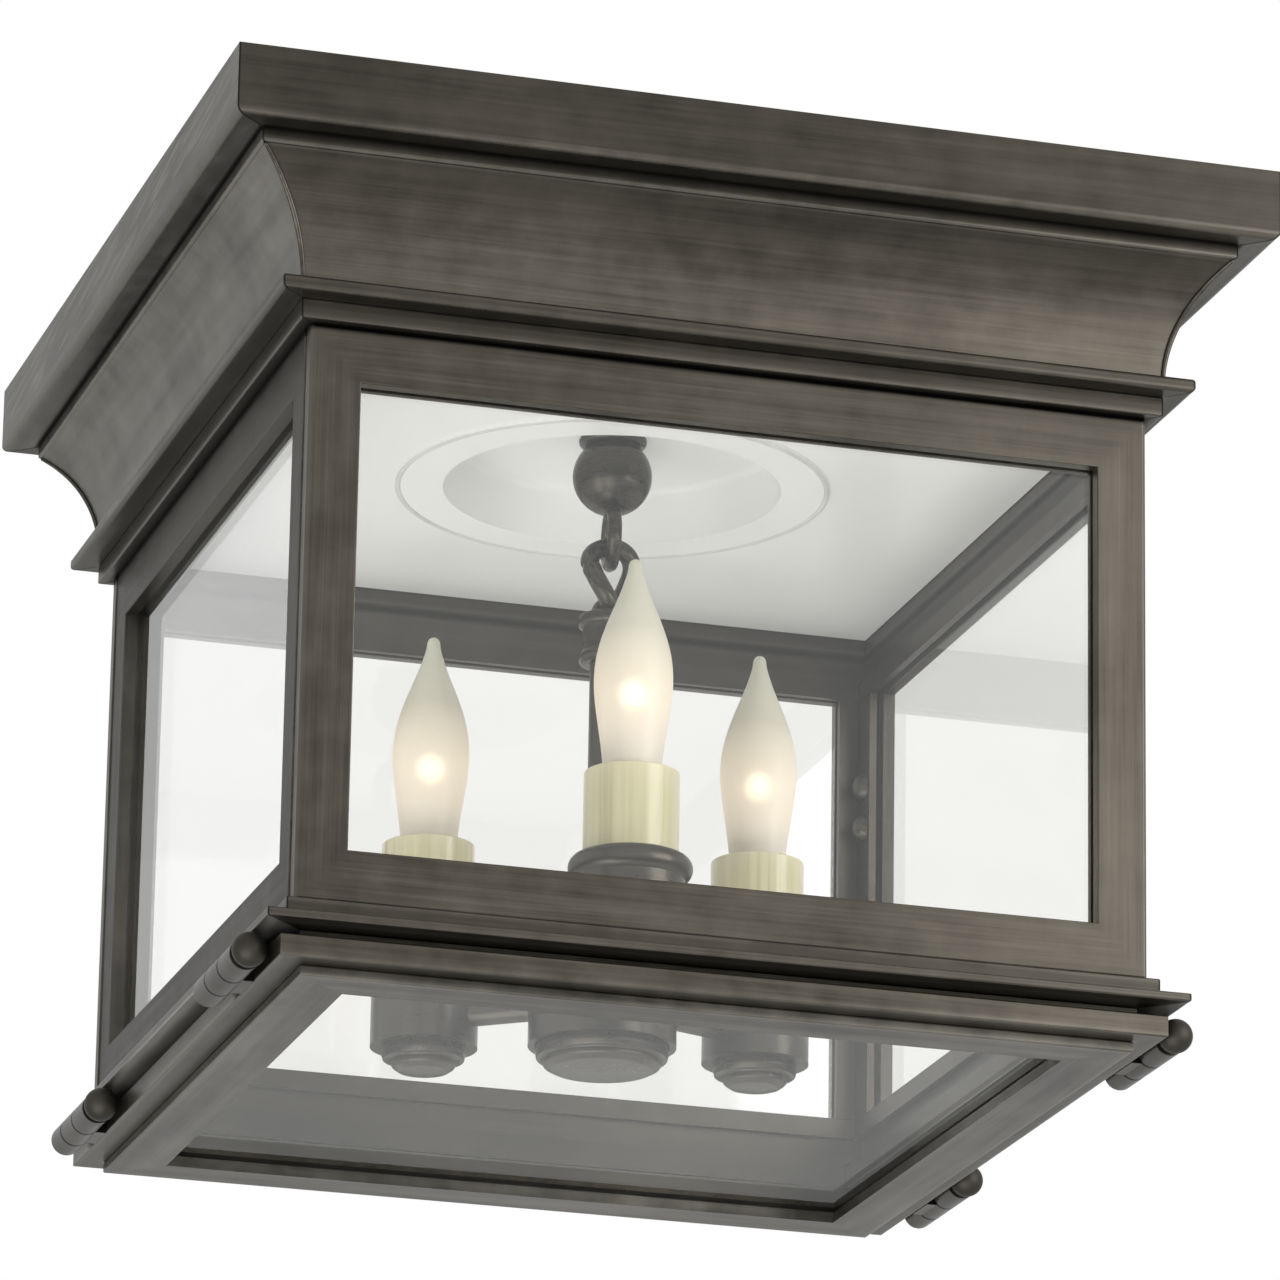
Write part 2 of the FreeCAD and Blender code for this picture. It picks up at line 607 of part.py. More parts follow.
def square_ring(label, outer, inner, foot, height, rounding=None):
    """A square plate with a square opening, its outer edges eased."""
    body = add_body(label)
    sketch = add_sketch(body, "XY_Plane", [square(outer), square(inner)], offset=foot)
    add_pad(body, sketch, height)
    if rounding:
        add_fillet(body, rounding, at_rim(outer))
    keep(body)
    return body


def turned(label, loops, place_at=None):
    """A sub-part turned about the upright axis."""
    body = add_body(label)
    add_turning(body, add_sketch(body, "XZ_Plane", loops))
    if place_at:
        place(body, **place_at)
    return body


def candle_place(name):
    """Where a candle stands on the cluster."""
    return {
        "x_text": f"candle_{name}_x",
        "y_text": f"candle_{name}_y",
        "turn_text": f"bearing_{name} - cluster_turn",
    }


def cornice_sides():
    """Four mitred lengths of rolled cornice: fascia, bead and cove."""
    outline = [
        ("cornice_half", "0"),
        ("cornice_half", "fascia_foot + fascia_round", "fascia_round", 1),
        ("cornice_half - fascia_round", "fascia_foot"),
        ("bead_half", "fascia_foot"),
        ("bead_half", "bead_foot + bead_round", "bead_round", 1),
        ("bead_half - bead_round", "bead_foot", "cove_radius", -1),
        ("cove_foot_half", "cornice_foot"),
        ("cove_foot_half - cornice_wall", "cornice_foot", "cove_back_radius", 1),
        ("cove_back_half", "bead_foot"),
        ("cove_back_half", "fascia_foot + cornice_wall"),
        ("cornice_half - cornice_wall", "fascia_foot + cornice_wall"),
        ("cornice_half - cornice_wall", "0"),
    ]
    waste = [("mitre_start", "mitre_start"), ("mitre_end", "mitre_end"), ("mitre_end", "mitre_start")]
    for name, turn in SIDES:
        body = add_body("cornice_" + name)
        add_pad(body, add_sketch(body, "YZ_Plane", [outline]), "cornice_half + cornice_half", both=True)
        for mirrored in (False, True):
            add_pocket(body, add_sketch(body, "XY_Plane", [waste], mirrored=mirrored))
        place(body, turn=turn + 180)
        keep(body)


def upper_mouldings():
    """The plate under the cove, with its inner flange, and the neck band below it."""
    plate = square_ring("astragal_plate", "astragal_half", "neck_hole", "astragal_foot", "astragal_thick",
                        "astragal_round")
    flange = [square("neck_hole"), square("flange_half")]
    add_pad(plate, add_sketch(plate, "XY_Plane", flange, offset="astragal_foot"), "flange_thick")
    square_ring("neck_band", "neck_half", "neck_hole", "neck_foot", "neck_thick", "edge_round")


def window_frames():
    """Four window frames, each with a rebate for its pane on the inner face.

    The front and back frames run the whole width and lap the ends of the side frames.
    """
    for name, turn in SIDES:
        across = name in ("left", "right")
        half = "side_half" if across else "body_half"
        window = "side_window_half" if across else "window_half"
        body = add_body("frame_" + name)
        outer = oblong("-" + half, "body_foot", half, "neck_foot")
        opening = oblong("-" + window, "window_foot", window, "window_top")
        add_pad(body, add_sketch(body, "XZ_Plane", [outer, opening]), "frame_thick")
        rebate = oblong(f"-{window} - rebate_lap", "window_foot - rebate_lap",
                        f"{window} + rebate_lap", "window_top + rebate_lap")
        add_pocket(body, add_sketch(body, "XZ_Plane", [rebate]), "rebate_depth", back=True)
        if name == "right":
            holes = [("stud_across", level, "stud_hole") for level in ("stud_upper", "stud_lower")]
            add_pocket(body, add_sketch(body, "XZ_Plane", circles=holes), "stud_reach + stud_fit", back=True)
        if not across:
            add_fillet(body, "corner_round", on_face(size(half)))
        add_fillet(body, "window_round", on_face(size(window), size("window_foot"), size("window_top")))
        stand_side(body, name, turn)
        keep(body)


def on_face(reach, low=None, high=None):
    """A test for edges of a frame's outer face: its uprights at this reach, or a window's sides."""
    face = -size("frame_thick")

    def near(value, target):
        return math.isclose(value, target, abs_tol=1e-6)

    def chosen(edge):
        ends = [vertex.Point for vertex in edge.Vertexes]
        if not all(near(p.y, face) for p in ends):
            return False
        if low is None:
            return all(near(abs(p.x), reach) for p in ends)
        return all(near(abs(p.x), reach) and (near(p.z, low) or near(p.z, high)) for p in ends)
    return chosen


def stand_side(body, name, turn):
    """Stand a flat piece, drawn facing the front, on its own side of the lantern."""
    shift = {"front": ("0", "-side_half"), "back": ("0", "side_half"),
             "left": ("-side_half", "0"), "right": ("side_half", "0")}[name]
    place(body, *shift, turn=turn)


def window_panes():
    """Four panes of clear glass, each seated in its rebate."""
    for name, turn in SIDES:
        window = "side_window_half" if name in ("left", "right") else "window_half"
        body = add_body("glass_" + name)
        pane = oblong(f"-{window} - pane_lap", "window_foot - pane_lap",
                      f"{window} + pane_lap", "window_top + pane_lap")
        add_pad(body, add_sketch(body, "XZ_Plane", [pane], offset="pane_inset"), "glass_thick")
        stand_side(body, name, turn)
        keep(body)


def glass_stops():
    """Four strips behind each pane, screwed to the inner face of its frame."""
    members = []
    for name, turn in SIDES:
        across = name in ("left", "right")
        window = "side_window_half" if across else "window_half"
        width = "side_stop_width" if across else "stop_width"
        body = add_body("stops_" + name)
        upright = ("window_foot + stop_gap", "window_top - stop_gap")
        strips = [
            oblong(f"-{window} - {width}", "window_top", f"{window} + {width}", "window_top + stop_width"),
            oblong(f"-{window} - {width}", "window_foot - stop_width", f"{window} + {width}", "window_foot"),
            oblong(f"-{window} - {width}", upright[0], f"-{window}", upright[1]),
            oblong(window, upright[0], f"{window} + {width}", upright[1]),
        ]
        add_pad(body, add_sketch(body, "XZ_Plane", strips), "stop_thick", back=True)
        if name == "right":
            holes = [("stud_across", level, "stud_hole") for level in ("stud_upper", "stud_lower")]
            add_pocket(body, add_sketch(body, "XZ_Plane", circles=holes))
        stand_side(body, name, turn)
        members.append(body)
    gather("glass_stops", members)


def stop_screws():
    """The two domed screws in the rear stop of the right-hand window."""
    outline = [
        ("0", "-stud_reach"),
        ("stud_shank", "-stud_reach"),
        ("stud_shank", "stop_thick"),
        ("stud_radius", "stop_thick", "stud_dome", -1),
        ("0", "stop_thick + stud_head"),
    ]
    members = []
    for name, level in (("upper", "stud_upper"), ("lower", "stud_lower")):
        body = add_body("stop_screw_" + name)
        add_turning(body, add_sketch(body, "XY_Plane", [outline]))
        place(body, "side_half", "stud_across", level, turn=90)
        members.append(body)
    gather("stop_screws", members)


def base_mouldings():
    """The base band and the wider foot flange under it."""
    square_ring("base_band", "base_half", "base_opening", "base_foot", "base_thick", "edge_round")
    square_ring("foot_flange", "foot_half", "base_opening", "foot_foot", "foot_thick", "edge_round")


def door():
    """The glazed door: band with a recessed lip, step, pane and stops."""
    body = add_body("door_frame")
    add_pad(body, add_sketch(body, "XY_Plane", [square("door_half"), square("door_inner")],
                             offset="band_foot"), "door_band")
    add_fillet(body, "edge_round", at_rim("door_half"))
    add_pad(body, add_sketch(body, "XY_Plane", [square("lip_half"), square("door_inner")],
                             offset="band_top"), "lip_height")
    keep(body)
    square_ring("door_step", "step_half", "door_window", "step_foot", "step_height", "edge_round")
    pane = add_body("glass_door")
    add_pad(pane, add_sketch(pane, "XY_Plane", [square("door_pane")], offset="band_foot"), "glass_thick")
    keep(pane)
    stops = add_body("door_glass_stops")
    low, high = "-door_stop_inner + stop_gap", "door_stop_inner - stop_gap"
    strips = [
        oblong("-door_stop_outer", "door_stop_inner", "door_stop_outer", "door_stop_outer"),
        oblong("-door_stop_outer", "-door_stop_outer", "door_stop_outer", "-door_stop_inner"),
        oblong("-door_stop_outer", low, "-door_stop_inner", high),
        oblong("door_stop_inner", low, "door_stop_outer", high),
    ]
    add_pad(stops, add_sketch(stops, "XY_Plane", strips, offset="door_pane_top"), "stop_thick")
    keep(stops)


def fixed_knuckles():
    """The two outer knuckles of every hinge, carried by webs under the foot flange.

    The rear knuckle of each hinge is closed at its end, where the pin stops.
    """
    for side, mirrored in (("left", False), ("right", True)):
        body = add_body("base_knuckles_" + side)
        barrels, bores, webs = [], [], []
        for middle in ("-hinge_pitch_half", "hinge_pitch_half"):
            front = (f"{middle} - barrel_half", f"{middle} - barrel_half + knuckle")
            rear = (f"{middle} + barrel_half - knuckle", f"{middle} + barrel_half")
            barrels.append(oblong("barrel_bore", front[0], "barrel_radius", front[1]))
            barrels.append([
                ("barrel_bore", rear[0]),
                ("barrel_radius", rear[0]),
                ("barrel_radius", f"{rear[1]} - knuckle_round", "knuckle_round", -1),
                ("barrel_radius - knuckle_round", rear[1]),
                ("0", rear[1]),
                ("0", f"{middle} + bore_end"),
                ("barrel_bore", f"{middle} + bore_end"),
            ])
            bores.append(oblong("0", f"{front[0]} - overrun", "barrel_bore", f"{front[1]} + overrun"))
            bores.append(oblong("0", f"{rear[0]} - overrun", "barrel_bore", f"{middle} + bore_end"))
            webs.append(oblong("web_inset", front[0], "web_inset + web_width", front[1]))
            webs.append(oblong("web_inset", rear[0], "web_inset + web_width", f"{rear[1]} - knuckle_round"))
        add_turning(body, add_sketch(body, "XY_Plane", barrels))
        add_pad(body, add_sketch(body, "XY_Plane", webs, mirrored=mirrored), "hinge_drop")
        add_groove(body, add_sketch(body, "XY_Plane", bores))
        place(body, "hinge_offset" if mirrored else "-hinge_offset", "0", "hinge_level")
        keep(body)


def door_knuckles():
    """The middle knuckle of every hinge, on a leaf from the door's band.

    The right-hand knuckles are open at the top, so the door drops off its pins on that side.
    """
    for side, mirrored in (("left", False), ("right", True)):
        body = add_body("door_knuckles_" + side)
        barrels, bores, leaves, mouths = [], [], [], []
        for middle in ("-hinge_pitch_half", "hinge_pitch_half"):
            ends = (f"{middle} - door_knuckle_half", f"{middle} + door_knuckle_half")
            past = (f"{ends[0]} - overrun", f"{ends[1]} + overrun")
            barrels.append(oblong("barrel_bore", ends[0], "barrel_radius", ends[1]))
            bores.append(oblong("0", past[0], "barrel_bore", past[1]))
            leaves.append(oblong("web_inset", ends[0], "hinge_projection", ends[1]))
            mouths.append(oblong("-mouth_half", past[0], "mouth_half", past[1]))
        add_turning(body, add_sketch(body, "XY_Plane", barrels))
        add_pad(body, add_sketch(body, "XY_Plane", leaves, offset="-leaf_low", mirrored=mirrored),
                "leaf_low + leaf_high")
        add_groove(body, add_sketch(body, "XY_Plane", bores))
        if mirrored:
            add_pocket(body, add_sketch(body, "XY_Plane", mouths), "barrel_radius + overrun", back=True)
        place(body, "hinge_offset" if mirrored else "-hinge_offset", "0", "hinge_level")
        keep(body)


def hinge_pins():
    """Four pins, each drawn out to the front by its ball."""
    outline = [
        ("0", "-ball_front", "pin_ball", -1),
        ("pin_ball", "-ball_middle", "pin_ball", -1),
        ("pin_radius", "-ball_back"),
        ("pin_radius", "pin_end"),
        ("0", "pin_end"),
    ]
    for name, across, along in HINGES:
        body = add_body("pin_" + name)
        add_turning(body, add_sketch(body, "XY_Plane", [outline]))
        place(body, across, along, "hinge_level")
        keep(body)


def slot_outline(middle):
    """A slot with round ends about a point on the strap's middle line."""
    near, far = f"{middle} - slot_straight", f"{middle} + slot_straight"
    return [
        (near, "-slot_radius"),
        (far, "-slot_radius", "slot_radius", -1),
        (f"{far} + slot_radius", "0", "slot_radius", -1),
        (far, "slot_radius"),
        (near, "slot_radius", "slot_radius", -1),
        (f"{near} - slot_radius", "0", "slot_radius", -1),
    ]


def ceiling_fixing():
    """The strap on the ceiling box, the threaded tube and its two lock nuts."""
    strap = add_body("ceiling_strap")
    long, wide = "strap_half_length", "strap_half_width"
    outline = [
        (f"-{long} + strap_round", f"-{wide}"),
        (f"{long} - strap_round", f"-{wide}", "strap_round", -1),
        (long, f"-{wide} + strap_round"),
        (long, f"{wide} - strap_round", "strap_round", -1),
        (f"{long} - strap_round", wide),
        (f"-{long} + strap_round", wide, "strap_round", -1),
        (f"-{long}", f"{wide} - strap_round"),
        (f"-{long}", f"-{wide} + strap_round", "strap_round", -1),
    ]
    loops = [outline, slot_outline("slot_middle"), slot_outline("-slot_middle")]
    sketch = add_sketch(strap, "XY_Plane", loops, [("0", "0", "nipple_hole")], offset="strap_foot")
    add_pad(strap, sketch, "strap_thick")
    keep(strap)
    tube = [oblong("nipple_bore", "nipple_foot", "nipple_radius", "0")]
    keep(turned("threaded_tube", tube))
    hexagon = [
        ("nut_radius", "0"), ("nut_half_radius", "nut_flat"), ("-nut_half_radius", "nut_flat"),
        ("-nut_radius", "0"), ("-nut_half_radius", "-nut_flat"), ("nut_half_radius", "-nut_flat"),
    ]
    nuts = []
    for name, foot in (("upper", "strap_foot - nut_thick"), ("lower", "dish_top")):
        nut = add_body("lock_nut_" + name)
        add_pad(nut, add_sketch(nut, "XY_Plane", [hexagon], [("0", "0", "nipple_hole")], offset=foot),
                "nut_thick")
        nuts.append(nut)
    gather("lock_nuts", nuts)


def white_pan():
    """The square white pan and the round dish whose brim holds it up."""
    pan = add_body("top_pan")
    add_pad(pan, add_sketch(pan, "XY_Plane", [square("pan_half")], [("0", "0", "pan_hole")],
                            offset="pan_foot"), "sheet_wall")
    keep(pan)
    outline = [
        ("nipple_hole", "dish_top"),
        ("nipple_hole", "dish_under"),
        ("dish_radius - dish_inner_round", "dish_under", "dish_inner_round", 1),
        ("dish_radius", "dish_under - dish_inner_round"),
        ("dish_radius", "brim_foot"),
        ("brim_radius", "brim_foot"),
        ("brim_radius", "pan_foot"),
        ("dish_outer", "pan_foot"),
        ("dish_outer", "dish_top - dish_round", "dish_round", -1),
        ("dish_outer - dish_round", "dish_top"),
    ]
    keep(turned("ceiling_dish", [outline]))


def hanging_parts():
    """The collar, the ball with its eye, and the chain link in the eye."""
    collar = [
        ("nipple_hole", "collar_foot"),
        ("collar_radius - collar_round", "collar_foot", "collar_round", -1),
        ("collar_radius", "collar_foot + collar_round", "collar_round", -1),
        ("collar_radius - collar_round", "dish_under"),
        ("nipple_hole", "dish_under"),
    ]
    keep(turned("ball_collar", [collar]))
    ball = [
        ("0", "ball_level - ball_radius", "ball_radius", -1),
        ("ball_radius", "ball_level", "ball_radius", -1),
        ("ball_flat", "collar_foot"),
        ("nipple_hole", "collar_foot"),
        ("nipple_hole", "ball_bore_end"),
        ("0", "ball_bore_end"),
    ]
    body = turned("hanging_ball", [ball])
    eye = body.newObject("PartDesign::AdditiveTorus", "hanging_ball_eye")
    eye.AttachmentSupport = [(plane_of(body, "YZ_Plane"), "")]
    eye.MapMode = "FlatFace"
    bind(eye, "AttachmentOffset.Base.y", "eye_level")
    bind(eye, "Radius1", "eye_mean")
    bind(eye, "Radius2", "eye_wire")
    doc.recompute()
    place(body, turn_text="-cluster_turn")
    keep(body)
    link = add_body("chain_link")
    path = [
        ("link_mean", "link_lower"),
        ("link_mean", "link_upper", "link_mean", -1),
        ("0", "link_upper + link_mean", "link_mean", -1),
        ("-link_mean", "link_upper"),
        ("-link_mean", "link_lower", "link_mean", -1),
        ("0", "link_foot_level", "link_mean", -1),
    ]
    spine = add_sketch(link, "XZ_Plane", [path])
    section = add_sketch(link, "XY_Plane", circles=[("link_mean", "0", "link_wire")], offset="link_lower")
    add_pipe(link, section, spine)
    place(link, turn_text="-cluster_turn")
    keep(link)


def add_pipe(body, section, spine):
    """Carry a round section along a path."""
    pipe = body.newObject("PartDesign::AdditivePipe", body.Label + "_pipe")
    pipe.Profile = section
    pipe.Spine = spine
    doc.recompute()
    return pipe


def stem_parts():
    """The capped loop that hangs in the link, and the stem below it."""
    cap = [
        ("0", "cap_foot"),
        ("cap_foot_radius - rim_round", "cap_foot", "rim_round", -1),
        ("cap_foot_radius", "cap_foot + rim_round"),
        ("cap_foot_radius", "cap_neck_foot - rim_round", "rim_round", -1),
        ("cap_foot_radius - rim_round", "cap_neck_foot"),
        ("cap_neck_radius", "cap_neck_foot"),
        ("cap_neck_radius", "cap_neck_top"),
        ("cap_radius - rim_round", "cap_neck_top", "rim_round", -1),
        ("cap_radius", "cap_neck_top + rim_round"),
        ("cap_radius", "cap_top - rim_round", "rim_round", -1),
        ("cap_radius - rim_round", "cap_top"),
        ("0", "cap_top"),
    ]
    loop = turned("stem_loop", [cap])
    ring = loop.newObject("PartDesign::AdditiveTorus", "stem_loop_ring")
    ring.AttachmentSupport = [(plane_of(loop, "YZ_Plane"), "")]
    ring.MapMode = "FlatFace"
    bind(ring, "AttachmentOffset.Base.y", "loop_level")
    bind(ring, "Radius1", "loop_mean")
    bind(ring, "Radius2", "loop_wire")
    doc.recompute()
    place(loop, turn_text="-cluster_turn")
    keep(loop)
    keep(turned("stem", [oblong("stem_bore", "hub_top", "stem_radius", "cap_foot")]))


def hub_parts():
    """The hollow hub, the finial that closes it and the three arms."""
    outline = [
        ("stem_bore", "hub_top"),
        ("hub_collar_radius", "hub_top"),
        ("hub_collar_radius", "hub_collar_foot"),
        ("hub_shoulder_radius", "hub_collar_foot", "hub_shoulder + hub_wall", 1),
        ("hub_radius", "hub_shoulder_foot"),
        ("hub_radius", "hub_foot"),
        ("hub_bore", "hub_foot"),
        ("hub_bore", "hub_roof"),
        ("stem_bore", "hub_roof"),
    ]
    hub = add_body("hub")
    add_turning(hub, add_sketch(hub, "XZ_Plane", [outline[::-1]]))
    for name in CANDLES:
        drill_arm_hole(hub, size("bearing_" + name), "hub_cut_length")
    place(hub, turn_text="-cluster_turn")
    keep(hub)
    finial = [
        ("0", "hub_boss_foot"),
        ("hub_tip_radius", "hub_boss_foot", "hub_boss_curve + hub_tier", -1),
        ("hub_boss_radius", "hub_tier_foot"),
        ("hub_tier_radius", "hub_tier_foot"),
        ("hub_tier_radius", "hub_foot"),
        ("0", "hub_foot"),
    ]
    keep(turned("hub_finial", [finial]))
    arms = []
    for name in CANDLES:
        arm = add_body("arm_" + name)
        section = [("0", "arm_level", "arm_radius")]
        add_pad(arm, add_sketch(arm, "YZ_Plane", circles=section, offset="hub_bore"), "arm_length")
        place(arm, turn_text=f"bearing_{name} - cluster_turn")
        arms.append(arm)
    gather("arms", arms)


def drill_arm_hole(body, bearing, reach):
    """Drill a level hole for an arm, from the body's middle out along a bearing."""
    before = body.Shape.Volume
    drill = body.newObject("PartDesign::SubtractiveCylinder", body.Label + "_drill")
    drill.AttachmentSupport = [(plane_of(body, "XY_Plane"), "")]
    drill.MapMode = "FlatFace"
    level = FreeCAD.Rotation(FreeCAD.Vector(0, 0, 1), bearing)
    drill.AttachmentOffset = FreeCAD.Placement(
        FreeCAD.Vector(0, 0, size("arm_level")),
        level.multiply(FreeCAD.Rotation(FreeCAD.Vector(0, 1, 0), 90)),
    )
    bind(drill, "AttachmentOffset.Base.z", "arm_level")
    bind(drill, "Radius", "arm_hole")
    bind(drill, "Height", reach)
    doc.recompute()
    if not body.Shape.Volume < before:
        raise RuntimeError(f"{body.Label}: a drilled hole removed nothing")


def cups():
    """The three candle cups, each with a rolled lip, and the finials under them."""
    cup = [
        ("0", "cup_foot"),
        ("cup_radius", "cup_foot"),
        ("cup_radius", "cup_lip_start", "cup_lip_round", -1),
        ("cup_lip_radius", "cup_lip_middle", "cup_lip_round", -1),
        ("cup_lip_radius - cup_lip_round", "cup_lip_top"),
        ("cup_lip_hole", "cup_lip_top"),
        ("cup_lip_hole", "cup_lip_foot"),
        ("cup_bore", "cup_lip_foot"),
        ("cup_bore", "cup_foot + cup_floor"),
        ("0", "cup_foot + cup_floor"),
    ]
    finial = [
        ("0", "cup_boss_foot"),
        ("cup_tip_radius", "cup_boss_foot", "cup_boss_curve + cup_tier", -1),
        ("cup_boss_radius", "cup_tier_foot"),
        ("cup_tier_radius", "cup_tier_foot"),
        ("cup_tier_radius", "cup_foot"),
        ("0", "cup_foot"),
    ]
    finials = []
    for name in CANDLES:
        body = turned("cup_" + name, [cup])
        drill_arm_hole(body, 180, "cup_cut_length")
        place(body, **candle_place(name))
        keep(body)
        finials.append(turned("cup_finial_" + name, [finial], candle_place(name)))
    gather("cup_finials", finials)


def candles():
    """Sockets and sleeves in the cups, and the bulbs that screw into the sockets."""
    socket = [
        ("0", "sleeve_foot"),
        ("socket_radius", "sleeve_foot"),
        ("socket_radius", "socket_top"),
        ("socket_bore", "socket_top"),
        ("socket_bore", "socket_floor"),
        ("0", "socket_floor"),
    ]
    sleeve = [
        ("sleeve_bore", "sleeve_foot"),
        ("sleeve_radius", "sleeve_foot"),
        ("sleeve_radius", "sleeve_top - sleeve_round", "sleeve_round", -1),
        ("sleeve_radius - sleeve_round", "sleeve_top"),
        ("sleeve_bore + sleeve_round", "sleeve_top", "sleeve_round", -1),
        ("sleeve_bore", "sleeve_top - sleeve_round"),
    ]
    screw = [
        ("0", "contact_foot"),
        ("contact_radius", "contact_foot"),
        ("base_radius", "screw_foot"),
        ("base_radius", "glass_foot"),
        ("0", "glass_foot"),
    ]
    glass = [
        ("bulb_foot - bulb_wall", "glass_foot"),
        ("bulb_foot", "glass_foot"),
        ("bulb_neck", "sleeve_top", "neck_curve", -1),
        ("bulb_belly", "belly_level", "shoulder_curve", -1),
        ("bulb_shoulder", "shoulder_level", "flame_radius", 1),
        ("bulb_tip", "tip_level", "bulb_tip", -1),
        ("0", "tip_top"),
        ("0", "tip_top - bulb_wall", "bulb_tip - bulb_wall", 1),
        ("bulb_tip - bulb_wall", "tip_level", "flame_radius", -1),
        ("bulb_shoulder - bulb_wall", "shoulder_level", "shoulder_curve", 1),
        ("bulb_belly - bulb_wall", "belly_level", "neck_curve", 1),
        ("bulb_neck - bulb_wall", "sleeve_top"),
    ]
    sockets = []
    for name in CANDLES:
        spot = candle_place(name)
        sockets.append(turned("socket_" + name, [socket], spot))
        keep(turned("sleeve_" + name, [sleeve], spot))
        keep(turned("bulb_base_" + name, [screw], spot))
        keep(turned("bulb_glass_" + name, [glass], spot))
    gather("sockets", sockets)


def check_and_write():
    """Check every feature and every sub-part, then write the parts."""
    doc.recompute()
    failed = [item.Label for item in doc.Objects if {"Invalid", "Error"} & set(item.State)]
    if failed:
        raise RuntimeError(f"failed features: {failed}")
    for label, thing in nodes.items():
        shape = thing.Shape
        if shape.isNull() or not shape.isValid() or not shape.Solids:
            raise RuntimeError(f"{label}: no valid solid")
    os.makedirs("parts", exist_ok=True)
    for label, thing in nodes.items():
        thing.Shape.exportStep(f"parts/{label}.step")
        print(f"{label}: {len(thing.Shape.Solids)} solid(s), {thing.Shape.Volume:.0f} mm3")
    for pivot in ("eye_wire_level", "link_foot_level", "hinge_level"):
        print(f"{pivot}: {size(pivot):.3f} mm")


fill_sheet()
cornice_sides()
upper_mouldings()
window_frames()
window_panes()
glass_stops()
stop_screws()
base_mouldings()
door()
fixed_knuckles()
door_knuckles()
hinge_pins()
ceiling_fixing()
white_pan()
hanging_parts()
stem_parts()
hub_parts()
cups()
candles()
check_and_write()
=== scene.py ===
"""Looks of a square glazed lantern that hangs from a ceiling, with three lit candle bulbs.

Metres, +Z up, -Y to the front; the ceiling is at height zero and everything hangs below it.
"""
import json
import logging
import math
from collections.abc import Sequence
from dataclasses import dataclass, field
from enum import Enum

import bmesh
import bpy
import numpy as np
from mathutils import Matrix, Vector


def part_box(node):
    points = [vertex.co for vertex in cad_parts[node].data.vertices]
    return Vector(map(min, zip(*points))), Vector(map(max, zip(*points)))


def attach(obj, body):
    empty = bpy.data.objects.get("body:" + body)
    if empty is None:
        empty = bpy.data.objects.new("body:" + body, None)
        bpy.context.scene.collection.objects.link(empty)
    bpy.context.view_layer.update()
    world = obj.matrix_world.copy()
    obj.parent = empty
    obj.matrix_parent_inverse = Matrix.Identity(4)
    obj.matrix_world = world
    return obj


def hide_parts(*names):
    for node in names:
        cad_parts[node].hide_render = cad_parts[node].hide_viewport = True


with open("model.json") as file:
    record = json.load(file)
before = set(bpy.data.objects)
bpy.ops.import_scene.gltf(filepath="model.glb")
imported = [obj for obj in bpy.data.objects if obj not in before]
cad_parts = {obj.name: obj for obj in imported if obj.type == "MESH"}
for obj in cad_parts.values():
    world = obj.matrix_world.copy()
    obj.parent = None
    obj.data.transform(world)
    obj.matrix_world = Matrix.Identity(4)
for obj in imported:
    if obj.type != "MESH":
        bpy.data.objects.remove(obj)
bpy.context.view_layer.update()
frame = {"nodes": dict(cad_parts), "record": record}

log = logging.getLogger("lantern")

Colour = tuple[float, float, float]
Triple = tuple[float, float, float]
Arris = tuple[float, float]

SIDES = ("front", "right", "back", "left")
CANDLES = ("front", "right", "left")
CORNERS = {"front_left": (-1, -1), "front_right": (1, -1), "rear_right": (1, 1), "rear_left": (-1, 1)}


class Wire:
    """A number on its way through a shader, with Python's operators."""

    def __init__(self, shader: "Shader", socket: bpy.types.NodeSocket) -> None:
        """Wrap the output socket of one of the shader's nodes."""
        self.shader = shader
        self.socket = socket

    def __add__(self, other: "Wire | float") -> "Wire":
        """Sum."""
        return self.shader.math("ADD", self, other)

    def __sub__(self, other: "Wire | float") -> "Wire":
        """Difference."""
        return self.shader.math("SUBTRACT", self, other)

    def __rsub__(self, other: float) -> "Wire":
        """Difference, from the right."""
        return self.shader.math("SUBTRACT", other, self)

    def __mul__(self, other: "Wire | float") -> "Wire":
        """Product."""
        return self.shader.math("MULTIPLY", self, other)

    def __truediv__(self, other: "Wire | float") -> "Wire":
        """Quotient."""
        return self.shader.math("DIVIDE", self, other)

    def __pow__(self, other: float) -> "Wire":
        """Power."""
        return self.shader.math("POWER", self, other)

    def __abs__(self) -> "Wire":
        """Size without sign."""
        return self.shader.math("ABSOLUTE", self)

    def clamped(self) -> "Wire":
        """The number held between 0 and 1."""
        return self.shader.math("ADD", self, 0.0, clamp=True)

    def greatest(self, other: "Wire | float") -> "Wire":
        """The larger of two numbers."""
        return self.shader.math("MAXIMUM", self, other)

    def least(self, other: "Wire | float") -> "Wire":
        """The smaller of two numbers."""
        return self.shader.math("MINIMUM", self, other)

    def mixed(self, low: "Wire | float", high: "Wire | float") -> "Wire":
        """From low where this is 0 to high where it is 1."""
        return self * (high - low) + low


